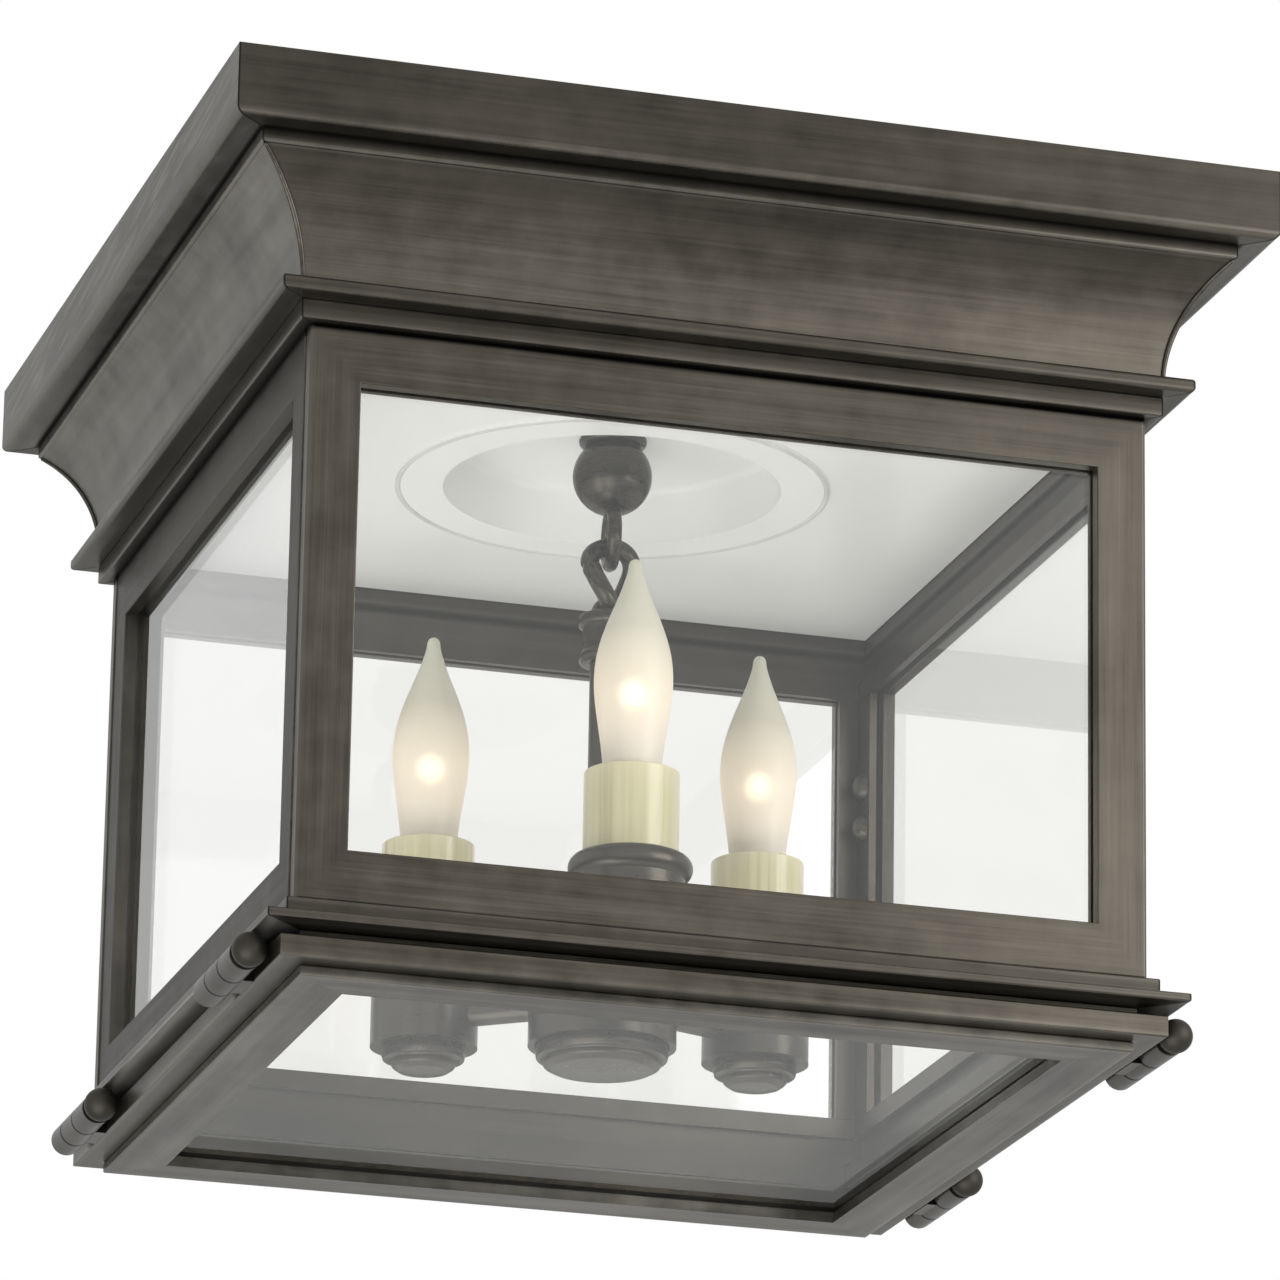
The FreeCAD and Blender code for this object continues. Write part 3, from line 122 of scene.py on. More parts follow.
class Shader:
    """The node tree of one material."""

    def __init__(self, name: str) -> None:
        """Start an empty material."""
        self.material = bpy.data.materials.new(name)
        self.material.use_nodes = True
        self.tree = self.material.node_tree
        self.tree.nodes.clear()

    def node(self, kind: str, settings: dict | None = None, sockets: dict | None = None) -> bpy.types.Node:
        """Add a node.

        Args:
            kind: the node's type, without its ShaderNode prefix.
            settings: the node's own settings, set before its sockets.
            sockets: values or links of its inputs, by name or number.

        Returns:
            The node.
        """
        made = self.tree.nodes.new("ShaderNode" + kind)
        for key, value in (settings or {}).items():
            setattr(made, key, value)
        for key, value in (sockets or {}).items():
            self.plug(made.inputs[key], value)
        return made

    def plug(self, socket: bpy.types.NodeSocket, value: object) -> None:
        """Link a wire or an output to an input, or set the input's value.

        Args:
            socket: the input.
            value: a wire, another node's output, a colour or a plain value.
        """
        if isinstance(value, Wire):
            self.tree.links.new(value.socket, socket)
        elif isinstance(value, bpy.types.NodeSocket):
            self.tree.links.new(value, socket)
        elif isinstance(value, tuple) and socket.type == "RGBA":
            socket.default_value = (*value, 1.0)
        else:
            socket.default_value = value

    def math(self, operation: str, *values: "Wire | float", clamp: bool = False) -> Wire:
        """Add one Math node."""
        settings = {"operation": operation, "use_clamp": clamp}
        return Wire(self, self.node("Math", settings, dict(enumerate(values))).outputs[0])

    def place(self) -> bpy.types.NodeSocket:
        """The point's own place, in metres."""
        return self.node("TexCoord").outputs["Object"]

    def axes(self, centre: Triple = (0.0, 0.0, 0.0)) -> tuple[Wire, Wire, Wire]:
        """The point's place from a centre, as three numbers.

        Args:
            centre: where the numbers are 0, in metres.

        Returns:
            The distance to the right, to the rear and upwards.
        """
        moved = self.node("VectorMath", {"operation": "SUBTRACT"}, {0: self.place(), 1: centre})
        parts = self.node("SeparateXYZ", None, {0: moved.outputs[0]})
        return tuple(Wire(self, output) for output in parts.outputs)

    def joined(self, *parts: "Wire | float") -> bpy.types.NodeSocket:
        """A vector of three numbers."""
        return self.node("CombineXYZ", None, dict(enumerate(parts))).outputs[0]

    def noise(self, vector: bpy.types.NodeSocket, waves: Triple, detail: float = 2.0) -> Wire:
        """Smooth noise between about 0.25 and 0.75.

        Args:
            vector: where it is read.
            waves: how many of its waves fit in a metre along each axis.
            detail: how many finer layers it has.

        Returns:
            The noise.
        """
        scaled = self.node("VectorMath", {"operation": "MULTIPLY"}, {0: vector, 1: waves}).outputs[0]
        made = self.node("TexNoise", None, {"Vector": scaled, "Scale": 1.0, "Detail": detail, "Roughness": 0.55})
        return Wire(self, made.outputs["Fac"])

    def tint(self, factor: Wire, low: "Colour | bpy.types.NodeSocket",
             high: "Colour | bpy.types.NodeSocket") -> bpy.types.NodeSocket:
        """A colour between two, by a factor."""
        return self.node("MixRGB", None, {"Fac": factor, 1: low, 2: high}).outputs[0]

    def bump(self, height: Wire, depth: float, strength: float = 1.0) -> bpy.types.NodeSocket:
        """A normal raised by a height; depth is in metres."""
        return self.node("Bump", None, {"Height": height, "Distance": depth, "Strength": strength}).outputs[0]

    def done(self, surface: bpy.types.Node) -> bpy.types.Material:
        """Send a surface to the output and hand over the material."""
        self.node("OutputMaterial", None, {"Surface": surface.outputs[0]})
        return self.material


class Grain(Enum):
    """Which way a metal surface was worked."""

    ALONG_X = "brushed along x"
    ALONG_Y = "brushed along y"
    ALONG_Z = "brushed upright"
    ROUND_THE_SQUARE = "brushed along each side of the square"
    WINDOW_FRONT = "stiles upright and rails level, front and back"
    WINDOW_SIDE = "stiles upright and rails level, left and right"
    TURNED_UPRIGHT = "rings about an upright axis"
    TURNED_LEVEL = "rings about an axis from front to back"
    CAST = "cast or bent, with no direction"


@dataclass(frozen=True)
class Bronze:
    """Dark patinated bronze: brushed, mottled where it was wiped, with a painted highlight along its arrises that
    stands both for abrasion and for light catching the edges.

    window is the half width, middle height and half height of the window in a frame. Each arris is the half
    width and the height of an edge that runs round the square; painted_shade_corners are inner corners where
    painted shade darkens the colour. joints are the places of the gaps between a hinge's knuckles, mitre is the
    reach of the dark line down each mitred corner, and wiping is the strength of the pale cloth marks on the
    fascia, which start cloth_foot above the height cove_top_level and climb by cloth_slant. Two corrections bring
    tones nearer to the photograph's and stand for no finish of their own; both are painted light and shade. From
    cove_top_level down to cove_foot_level the colour is multiplied by the first painted_light_gain at the top and
    by the second at the foot, a painted change of light down the cove; it starts painted_light_over above
    cove_top_level. At the height painted_underside_light_level and below it the left and right lengths have the
    lighter colour under, painted light on their undersides. Waves are counted to the metre: grain_waves and
    smear_waves across the brushing, grain_run and smear_run along it.
    """

    name: str
    grain: Grain
    centre: Triple = (0.0, 0.0, 0.0)
    window: tuple[float, float, float] = (0.0, 0.0, 0.0)
    corner_half: float = 0.0
    arrises: tuple[Arris, ...] = ()
    painted_shade_corners: tuple[Arris, ...] = ()
    joints: tuple[float, ...] = ()
    mitre: float = 0.0
    dark: Colour = (0.0365, 0.0322, 0.0256)
    pale: Colour = (0.102, 0.0922, 0.0745)
    # The colour of the painted highlight on arrises, corners and window edges, which also stands for abrasion.
    rubbed_highlight: Colour = (0.17, 0.158, 0.134)
    # The colour of the painted shade in inner corners, and of the dark hinge joints and mitre lines.
    shade_and_joint_colour: Colour = (0.009, 0.008, 0.007)
    streak: float = 1.0
    mottle: float = 0.6
    wiping: float = 0.0
    roughness: float = 0.37
    edge_tint: Colour = (0.85, 0.85, 0.85)
    rub_highlight: float = 0.6
    rub_highlight_reach: float = 0.0024
    corner_reach: float = 0.0018
    corner_highlight: float = 0.7
    window_reach: float = 0.0007
    window_highlight: float = 0.35
    painted_shade_reach: float = 0.0026
    joint_reach: float = 0.0013
    cove_top_level: float = 0.0
    cove_foot_level: float = 0.0
    painted_light_over: float = 0.003
    painted_light_gain: Arris = (1.0, 1.0)
    cloth_foot: float = 0.0085
    cloth_slant: float = 0.115
    cloth_waves: Triple = (26.0, 420.0, 40.0)
    painted_underside_light_level: float = 0.0
    under: Colour = (0.36, 0.35, 0.325)
    grain_waves: float = 1500.0
    grain_run: float = 13.0
    smear_waves: float = 120.0
    smear_run: float = 6.0
    bump_depth: float = 0.0001

    def marks(self, shader: Shader) -> tuple[Wire, Wire]:
        """Fine brush marks and broad smears, each about 0.25 to 0.75, drawn out along the brushing.

        Each is noise whose waves are short across the brushing and long along it. On turned work it is read at
        (radius, run along the axis), so that it makes rings.

        Args:
            shader: the material's nodes.

        Returns:
            The brush marks and the smears.
        """
        across, deep, height = shader.axes(self.centre)
        place = shader.joined(across, deep, height)

        def along(grain: Grain) -> tuple[Wire, Wire]:
            """The marks and the smears of one direction."""
            run = (Grain.ALONG_X, Grain.ALONG_Y, Grain.ALONG_Z).index(grain)
            close, middling, wide = (
                tuple(length if axis == run else width for axis in range(3))
                for length, width in ((self.grain_run, self.grain_waves), (self.grain_run, self.grain_waves / 5),
                                      (self.smear_run, self.smear_waves)))
            return (shader.noise(place, close) * 0.5 + shader.noise(place, middling, 1.0) * 0.5,
                    shader.noise(place, wide, 2.0))

        def either(share: Wire, low: Grain, high: Grain) -> tuple[Wire, Wire]:
            """One direction where the share is 0 and the other where it is 1."""
            return tuple(share.mixed(a, b) for a, b in zip(along(low), along(high)))

        if self.grain in (Grain.ALONG_X, Grain.ALONG_Y, Grain.ALONG_Z):
            return along(self.grain)
        if self.grain is Grain.ROUND_THE_SQUARE:
            return either(((abs(across) - abs(deep)) * 800.0 + 0.5).clamped(), Grain.ALONG_X, Grain.ALONG_Y)
        if self.grain in (Grain.WINDOW_FRONT, Grain.WINDOW_SIDE):
            front = self.grain is Grain.WINDOW_FRONT
            half, middle, rise = self.window
            past = (abs(across if front else deep) - half) - (abs(height - middle) - rise)
            level = Grain.ALONG_X if front else Grain.ALONG_Y
            return either((past * 140.0 + 0.5).clamped(), level, Grain.ALONG_Z)
        if self.grain is Grain.CAST:
            return shader.noise(place, (420.0, 420.0, 420.0), 3.0), shader.noise(place, (70.0, 70.0, 70.0))
        level, run = (deep, height) if self.grain is Grain.TURNED_UPRIGHT else (height, deep)
        radius = shader.math("SQRT", across * across + level * level)
        rings = shader.joined(radius, run, across * 0.01)
        close, middling = (1400.0, 1400.0, 13.0), (260.0, 260.0, 13.0)
        return (shader.noise(rings, close) * 0.6 + shader.noise(rings, middling) * 0.4,
                shader.noise(place, (60.0, 60.0, 60.0)))

    def near(self, shader: Shader, corners: Sequence[Arris], reach: float) -> "Wire | None":
        """How near the point is to any of the corners round the square: 1 on one, 0 past the reach.

        The distance to a corner is the root of (larger of |x| and |y| - half)^2 + (height - level)^2.

        Args:
            shader: the material's nodes.
            corners: the half width and the height of each corner.
            reach: how far its effect goes, in metres.

        Returns:
            The nearness, or None without corners.
        """
        across, deep, height = shader.axes(self.centre)
        square = abs(across).greatest(abs(deep))
        nearest = None
        for half, level in corners:
            away, rise = square - half, height - level
            gap = shader.math("SQRT", away * away + rise * rise)
            nearest = gap if nearest is None else nearest.least(gap)
        return None if nearest is None else (1.0 - nearest / reach).clamped()

    def rub_highlights(self, shader: Shader) -> "Wire | None":
        """The painted highlight, which also stands for abrasion: along the arrises, the upright corners and round
        the window.

        Args:
            shader: the material's nodes.

        Returns:
            How strong the painted highlight is, 0 to 1, or None where there is none.
        """
        across, deep, height = shader.axes(self.centre)
        rub_highlight = self.near(shader, self.arrises, self.rub_highlight_reach)
        if self.corner_half:
            inward = self.corner_half - abs(across).least(abs(deep))
            corner = (1.0 - inward / self.corner_reach).clamped() * self.corner_highlight
            rub_highlight = corner if rub_highlight is None else rub_highlight.greatest(corner)
        if self.window[0]:
            half, middle, rise = self.window
            side = abs(across if self.grain is Grain.WINDOW_FRONT else deep)
            past = (side - half).greatest(abs(height - middle) - rise)
            edge = (1.0 - abs(past) / self.window_reach).clamped() * self.window_highlight
            rub_highlight = edge if rub_highlight is None else rub_highlight.greatest(edge)
        return rub_highlight

    def gaps(self, shader: Shader) -> "Wire | None":
        """The dark joints: 1 at each gap between knuckles or on a mitre's line, 0 past the reach.

        Args:
            shader: the material's nodes.

        Returns:
            How near the point is to a joint, or None without joints.
        """
        across, run, _ = shader.axes()
        if self.mitre:
            return (1.0 - abs(abs(across) - abs(run)) / self.mitre).clamped()
        nearest = None
        for place in self.joints:
            gap = abs(run - place)
            nearest = gap if nearest is None else nearest.least(gap)
        return None if nearest is None else (1.0 - nearest / self.joint_reach).clamped()

    def patina(self, shader: Shader, streaks: Wire, smears: Wire, blotch: Wire) -> bpy.types.NodeSocket:
        """The colour before the painted highlight, the painted shade and the dark joints: dark to pale by the
        marks, then the two corrections of tone, which are painted light and shade.

        Args:
            shader: the material's nodes.
            streaks: the brush marks.
            smears: the broad smears.
            blotch: the mottling.

        Returns:
            The colour.
        """
        cloud = shader.noise(shader.place(), (12.0, 12.0, 12.0), 3.0)
        tone = ((streaks - 0.5) * (1.2 * self.streak) + (smears - 0.5) * self.mottle
                + (cloud - 0.5) * 0.8 + (blotch - 0.5) * self.mottle + 0.5)
        if self.wiping:
            across, deep, height = shader.axes()
            slanted = shader.joined(deep, height + deep * self.cloth_slant, across)
            wiped = shader.noise(slanted, self.cloth_waves, 2.0)
            above = ((height - self.cove_top_level - self.cloth_foot) * 120.0).clamped()
            tone = tone + (wiped - 0.5).clamped() * above * self.wiping
        colour = shader.tint(tone.clamped(), self.dark, self.pale)
        # Painted light and shade: the colour scaled by height between the cove's top and foot.
        if self.painted_light_gain != (1.0, 1.0):
            height, (top, foot) = shader.axes()[2], self.painted_light_gain
            down = ((self.cove_top_level - height) / (self.cove_top_level - self.cove_foot_level)).clamped()
            under = ((self.cove_top_level + self.painted_light_over - height) * 400.0).clamped()
            gain = under * (down * (foot - top) + (top - 1.0)) + 1.0
            colour = shader.node("VectorMath", {"operation": "SCALE"}, {0: colour, "Scale": gain}).outputs[0]
        # Painted light: below the given height the left and right lengths take a paler colour on their undersides.
        if self.painted_underside_light_level:
            across, deep, height = shader.axes()
            side = ((abs(across) - abs(deep)) * 400.0 + 0.5).clamped()
            below = ((self.painted_underside_light_level - height) * 2000.0).clamped() * side
            colour = shader.tint((below * (smears * 0.6 + 0.6)).clamped(), colour, self.under)
        return colour

    def build(self) -> bpy.types.Material:
        """Make the material."""
        shader = Shader(self.name)
        streaks, smears = self.marks(shader)
        blotch = shader.noise(shader.place(), (75.0, 75.0, 75.0), 4.0)
        colour = self.patina(shader, streaks, smears, blotch)
        rough = (blotch - 0.5) * 0.2 + (streaks - 0.5) * 0.25 + self.roughness
        # Painted highlight along the arrises, upright corners and window edges, standing also for abrasion.
        rub_highlight = self.rub_highlights(shader)
        if rub_highlight is not None:
            rub_highlight_share = (rub_highlight * (smears * 1.4 + blotch * 0.8 - 0.3) * self.rub_highlight).clamped()
            colour = shader.tint(rub_highlight_share, colour, self.rubbed_highlight)
            rough = rough - rub_highlight_share * 0.05
        # Painted shade in the inner corners, then the dark joints between knuckles and along the mitres.
        for shade_and_joint in (self.near(shader, self.painted_shade_corners, self.painted_shade_reach), self.gaps(shader)):
            if shade_and_joint is not None:
                colour = shader.tint((shade_and_joint * 1.3).clamped(), colour, self.shade_and_joint_colour)
                rough = rough + shade_and_joint * 0.15
        surface = shader.node("BsdfPrincipled", None, {
            "Base Color": colour,
            "Metallic": 0.9,
            "Roughness": rough,
            "Specular Tint": self.edge_tint,
            "Normal": shader.bump(streaks * 0.7 + blotch * 0.3, self.bump_depth, 0.4),
        })
        return shader.done(surface)


@dataclass(frozen=True)
class ClearGlass:
    """Clear plate glass: what lies behind it, under a plain reflection that grows towards grazing.

    face_shine is the mirror's share seen square on, and grazing is what is added to it seen edge on.
    """

    name: str
    face_shine: float = 0.045
    grazing: float = 0.95
    clear: Colour = (0.98, 0.979, 0.972)
    mirror: Colour = (0.95, 0.96, 0.955)

    def build(self) -> bpy.types.Material:
        """Make the material; the mirror's share is face_shine + grazing * facing to the fifth."""
        shader = Shader(self.name)
        facing = Wire(shader, shader.node("LayerWeight", None, {"Blend": 0.5}).outputs["Facing"])
        ripple = shader.noise(shader.place(), (9.0, 9.0, 9.0), 1.0)
        shine = (facing ** 5.0 * self.grazing + self.face_shine).clamped()
        clear = shader.node("BsdfTransparent", None, {"Color": self.clear})
        mirror = shader.node("BsdfPrincipled", None, {
            "Base Color": self.mirror, "Metallic": 1.0, "Roughness": 0.03,
            "Normal": shader.bump(ripple, 0.0002, 0.12),
        })
        mixed = shader.node("MixShader", None, {"Fac": shine, 1: clear.outputs[0], 2: mirror.outputs[0]})
        return shader.done(mixed)


@dataclass(frozen=True)
class Plain:
    """A satin or glossy finish with slight clouding and fine unevenness.

    low and high are its darker and paler colours, and waves says how its clouds lie along each axis.
    """

    name: str
    low: Colour
    high: Colour
    roughness: float = 0.4
    metallic: float = 0.0
    coat: float = 0.0
    waves: Triple = (40.0, 40.0, 40.0)
    depth: float = 0.00005

    def build(self) -> bpy.types.Material:
        """Make the material."""
        shader = Shader(self.name)
        cloud = shader.noise(shader.place(), self.waves, 3.0)
        fine = shader.noise(shader.place(), (900.0, 900.0, 900.0))
        surface = shader.node("BsdfPrincipled", None, {
            "Base Color": shader.tint(((cloud - 0.5) * 2.0 + 0.5).clamped(), self.low, self.high),
            "Metallic": self.metallic,
            "Roughness": (fine - 0.5) * 0.2 + self.roughness,
            "Coat Weight": self.coat,
            "Coat Roughness": 0.12,
            "Normal": shader.bump(fine, self.depth, 0.4),
        })
        return shader.done(surface)


@dataclass(frozen=True)
class CandleSleeve:
    """Cream candle tube: glossy, streaked along its length, with painted light that makes its top paler and warmer
    under the lit bulb.
    """

    name: str
    top: float
    low: Colour = (0.49, 0.455, 0.25)
    high: Colour = (0.63, 0.585, 0.36)
    # The colour of the painted bulb light at the top of the tube.
    lit: Colour = (0.72, 0.66, 0.46)
    painted_light_reach: float = 0.016

    def build(self) -> bpy.types.Material:
        """Make the material."""
        shader = Shader(self.name)
        height = shader.axes()[2]
        streak = shader.noise(shader.place(), (330.0, 330.0, 5.0))
        fine = shader.noise(shader.place(), (1100.0, 1100.0, 60.0))
        # Painted light: paler and warmer within the given reach below the top.
        painted_bulb_light = (1.0 - (self.top - height) / self.painted_light_reach).clamped()
        colour = shader.tint(((streak - 0.5) * 2.4 + 0.5).clamped(), self.low, self.high)
        surface = shader.node("BsdfPrincipled", None, {
            "Base Color": shader.tint((painted_bulb_light ** 2.0 * 0.6).clamped(), colour, self.lit),
            "Roughness": (streak - 0.5) * 0.25 + 0.3,
            "Coat Weight": 0.5,
            "Coat Roughness": 0.08,
            "Normal": shader.bump(streak * 0.6 + fine * 0.4, 0.00006, 0.5),
        })
        return shader.done(surface)


@dataclass(frozen=True)
class FrostedBulb:
    """Frosted glass lit from inside: a pale satin coat with the glow showing through it, warm at the belly.

    The coat's colour goes from coat_low at the glow's height to coat_high at the top, painted light and shade for
    the inner light falling off. glow_share is the glow's strength and clear_share the share of glass that light
    goes through, both greatest at the glow.
    """

    name: str
    glow_height: float
    top: float
    coat_low: Colour = (0.765, 0.708, 0.61)
    coat_high: Colour = (0.61, 0.612, 0.505)
    glow: Colour = (1.0, 0.84, 0.60)
    glow_reach: float = 0.025
    glow_share: float = 0.2
    clear_share: float = 0.2

    def build(self) -> bpy.types.Material:
        """Make the material; the glow falls off with the square of the height from the filament."""
        shader = Shader(self.name)
        height = shader.axes()[2]
        grit = shader.noise(shader.place(), (1600.0, 1600.0, 1600.0))
        cloud = shader.noise(shader.place(), (60.0, 60.0, 60.0), 3.0)
        away = abs(height - self.glow_height) / self.glow_reach
        near = (1.0 - away * away).clamped()
        # Painted shade: the coat's colour darker towards the top, away from the glow.
        painted_falloff = ((height - self.glow_height) / (self.top - self.glow_height)).clamped()
        lit = (near * self.glow_share + (cloud - 0.5) * 0.05 + 0.02).clamped()
        glow = shader.tint(lit, (0.0, 0.0, 0.0), self.glow)
        coat = shader.node("BsdfPrincipled", None, {
            "Base Color": shader.tint(painted_falloff ** 0.7, self.coat_low, self.coat_high),
            "Roughness": (grit - 0.5) * 0.2 + 0.42,
            "Emission Color": glow,
            "Emission Strength": 1.0,
            "Normal": shader.bump(grit, 0.00003, 0.3),
        })
        through = shader.node("BsdfPrincipled", None, {
            "Base Color": (1.0, 0.97, 0.92), "Transmission Weight": 1.0, "Roughness": 0.72, "IOR": 1.25,
        })
        share = (near * self.clear_share + 0.05).clamped()
        mixed = shader.node("MixShader", None, {"Fac": share, 1: coat.outputs[0], 2: through.outputs[0]})
        return shader.done(mixed)


@dataclass(frozen=True)
class Glow:
    """The bright middle of a lit lamp."""

    name: str
    middle: float
    reach: float
    colour: Colour = (1.0, 0.90, 0.70)
    edge: Colour = (1.0, 0.72, 0.40)
    strength: float = 2.7

    def build(self) -> bpy.types.Material:
        """Make the material, paler at the middle height."""
        shader = Shader(self.name)
        away = (abs(shader.axes()[2] - self.middle) / self.reach).clamped()
        flicker = shader.noise(shader.place(), (300.0, 300.0, 300.0))
        surface = shader.node("BsdfPrincipled", None, {
            "Base Color": self.colour,
            "Roughness": 0.6,
            "Emission Color": shader.tint((away * away + (flicker - 0.5) * 0.1).clamped(), self.colour, self.edge),
            "Emission Strength": self.strength,
        })
        return shader.done(surface)


def dress(finish: bpy.types.Material, *nodes: str) -> None:
    """Give CAD nodes a finish.

    Args:
        finish: the material.
        nodes: the names of the CAD nodes.
    """
    for node in nodes:
        for slot in frame["nodes"][node].material_slots:
            slot.material = finish
    log.info("%s: %s", finish.name, ", ".join(nodes))


def middle_of(node: str) -> Triple:
    """The middle of a CAD node's box."""
    low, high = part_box(node)
    return tuple((a + b) / 2 for a, b in zip(low, high))


def piece(name: str, grid: np.ndarray, finish: bpy.types.Material, body: str, node: str = "",
          closed_rows: bool = False, smooth: bool = True) -> bpy.types.Object:
    """Make a piece of a grid of points whose columns close on themselves.

    Args:
        name: the piece's name.
        grid: points, rows by columns by 3; a row of equal points is a pole.
        finish: its material.
        body: the CAD body that it rides on.
        node: the CAD node that it stands for, if any.
        closed_rows: whether the last row joins the first; otherwise each end row is closed by a face.
        smooth: whether its faces are shaded smoothly.

    Returns:
        The piece.
    """
    rows, columns = grid.shape[:2]
    number = np.arange(rows * columns).reshape(rows, columns)
    near = number if closed_rows else number[:-1]
    far = np.roll(number, -1, axis=0) if closed_rows else number[1:]
    faces = np.stack([near, np.roll(near, -1, axis=1), np.roll(far, -1, axis=1), far], axis=-1).reshape(-1, 4)
    ends = [] if closed_rows else [number[0].tolist(), number[-1].tolist()]
    mesh = bpy.data.meshes.new(name)
    mesh.from_pydata(grid.reshape(-1, 3).tolist(), [], faces.tolist() + ends)
    shaping = bmesh.new()
    shaping.from_mesh(mesh)
    bmesh.ops.remove_doubles(shaping, verts=shaping.verts, dist=1e-7)
    bmesh.ops.dissolve_degenerate(shaping, edges=shaping.edges, dist=1e-8)
    bmesh.ops.recalc_face_normals(shaping, faces=shaping.faces)
    shaping.to_mesh(mesh)
    shaping.free()
    mesh.materials.append(finish)
    mesh.polygons.foreach_set("use_smooth", [smooth] * len(mesh.polygons))
    thing = bpy.data.objects.new(name, mesh)
    bpy.context.scene.collection.objects.link(thing)
    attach(thing, body)
    if node:
        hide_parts(node)
    log.info("%s: %d faces on %s", name, len(mesh.polygons), body)
    return thing


def turned(profile: Sequence[Arris], centre: Sequence[float], steps: int = 64,
           ripple: "np.ndarray | None" = None) -> np.ndarray:
    """A profile carried round an upright axis.

    A point is the centre plus radius times (cos angle, sin angle), at its height.

    Args:
        profile: (radius, height) points.
        centre: where the axis stands.
        steps: how many columns go round it.
        ripple: what is added to the radius, row by column.

    Returns:
        The grid, one row for each point of the profile.
    """
    radius, height = np.asarray(profile, float).T
    angle = np.linspace(0.0, 2 * math.pi, steps, endpoint=False)
    reach = np.repeat(radius[:, None], steps, axis=1)
    if ripple is not None:
        reach = reach + ripple
    return np.stack([centre[0] + reach * np.cos(angle), centre[1] + reach * np.sin(angle),
                     np.repeat(height[:, None], steps, axis=1)], axis=-1)


def curve_through(points: Sequence[Arris], steps: int = 8) -> np.ndarray:
    """A smooth curve through points: between two of them, the cubic whose slopes are those of their neighbours.

    Args:
        points: the points that it goes through.
        steps: how many points it has from one of them to the next.

    Returns:
        The curve's points.
    """
    knots = np.asarray(points, float)
    slope = np.gradient(knots, axis=0)
    share = np.linspace(0.0, 1.0, steps, endpoint=False)[:, None, None]
    start, end = knots[None, :-1], knots[None, 1:]
    curve = ((2 * share ** 3 - 3 * share ** 2 + 1) * start
             + (share ** 3 - 2 * share ** 2 + share) * slope[None, :-1]
             + (3 * share ** 2 - 2 * share ** 3) * end + (share ** 3 - share ** 2) * slope[None, 1:])
    return np.vstack([curve.transpose(1, 0, 2).reshape(-1, 2), knots[-1:]])


def wire(path: np.ndarray, normal: "np.ndarray | Sequence[float]", radius: "float | np.ndarray",
         closed: bool = False, sides: int = 16) -> np.ndarray:
    """A round wire along a path.

    Round each point of the path runs a circle: radius times (cos * side + sin * normal), where side is the
    cross product of the normal and the path's direction, and the normal is squared up to that direction.

    Args:
        path: the wire's middle, point by point.
        normal: the normal of the plane that the path lies in, or one for each point where that plane turns.
        radius: the wire's radius, or one for each point.
        closed: whether the path's last point joins its first.
        sides: how many points go round the wire.

    Returns:
        The grid, one row for each point of the path.
    """
    if closed:
        along = np.roll(path, -1, axis=0) - np.roll(path, 1, axis=0)
    else:
        along = np.gradient(path, axis=0)
    along /= np.linalg.norm(along, axis=1, keepdims=True)
    normal = np.broadcast_to(np.asarray(normal, float), path.shape)
    normal = normal - (normal * along).sum(axis=1, keepdims=True) * along
    normal = normal / np.linalg.norm(normal, axis=1, keepdims=True)
    side = np.cross(normal, along)
    angle = np.linspace(0.0, 2 * math.pi, sides, endpoint=False)[None, :, None]
    reach = np.broadcast_to(radius, (len(path),))[:, None, None]
    return path[:, None] + reach * (np.cos(angle) * side[:, None] + np.sin(angle) * normal[:, None])


def rounded(corners: Sequence[tuple[float, float, float]], steps: int = 6) -> np.ndarray:
    """A profile of straight runs whose corners are rounded.

    A corner's bend starts and ends where a circle of its rounding would touch the two runs, and its points are
    (1-t)^2 start + 2t(1-t) corner + t^2 end.

    Args:
        corners: the radius, height and rounding of each corner.
        steps: how many points a bend has.

    Returns:
        The profile's (radius, height) points.
    """
    points = np.asarray(corners, float)
    place, rounding = points[:, :2], points[:, 2]
    back = np.roll(place, 1, axis=0) - place
    on = np.roll(place, -1, axis=0) - place
    back /= np.linalg.norm(back, axis=1, keepdims=True)
    on /= np.linalg.norm(on, axis=1, keepdims=True)
    half = np.arccos(np.clip((back * on).sum(axis=1), -1.0, 1.0)) / 2
    reach = (rounding / np.maximum(np.tan(half), 1e-6))[:, None]
    share = np.linspace(0.0, 1.0, steps)[None, :, None]
    start, end = (place + reach * back)[:, None], (place + reach * on)[:, None]
    bend = (1 - share) ** 2 * start + 2 * share * (1 - share) * place[:, None] + share ** 2 * end
    keep = np.broadcast_to((rounding > 0)[:, None] | (np.arange(steps) == 0)[None, :], bend.shape[:2])
    return bend[keep]


def screw_thread(rows: np.ndarray, steps: int, pitch: float, depth: float, start: float,
                 end: float) -> np.ndarray:
    """The ripple of a screw thread: half the depth times (cosine of its turn - 1), fading out at both ends.

    Args:
        rows: the height of each row.
        steps: how many columns go round.
        pitch: the height of one turn.
        depth: the depth of the thread.
        start: the height where the thread starts.
        end: the height where it ends.

    Returns:
        What is added to the radius, row by column.
    """
    angle = np.linspace(0.0, 2 * math.pi, steps, endpoint=False)[None, :]
    turn = 2 * math.pi * rows[:, None] / pitch - angle
    fade = np.clip(np.minimum(rows - start, end - rows) / pitch, 0.0, 1.0)[:, None]
    return depth / 2 * (np.cos(turn) - 1.0) * fade


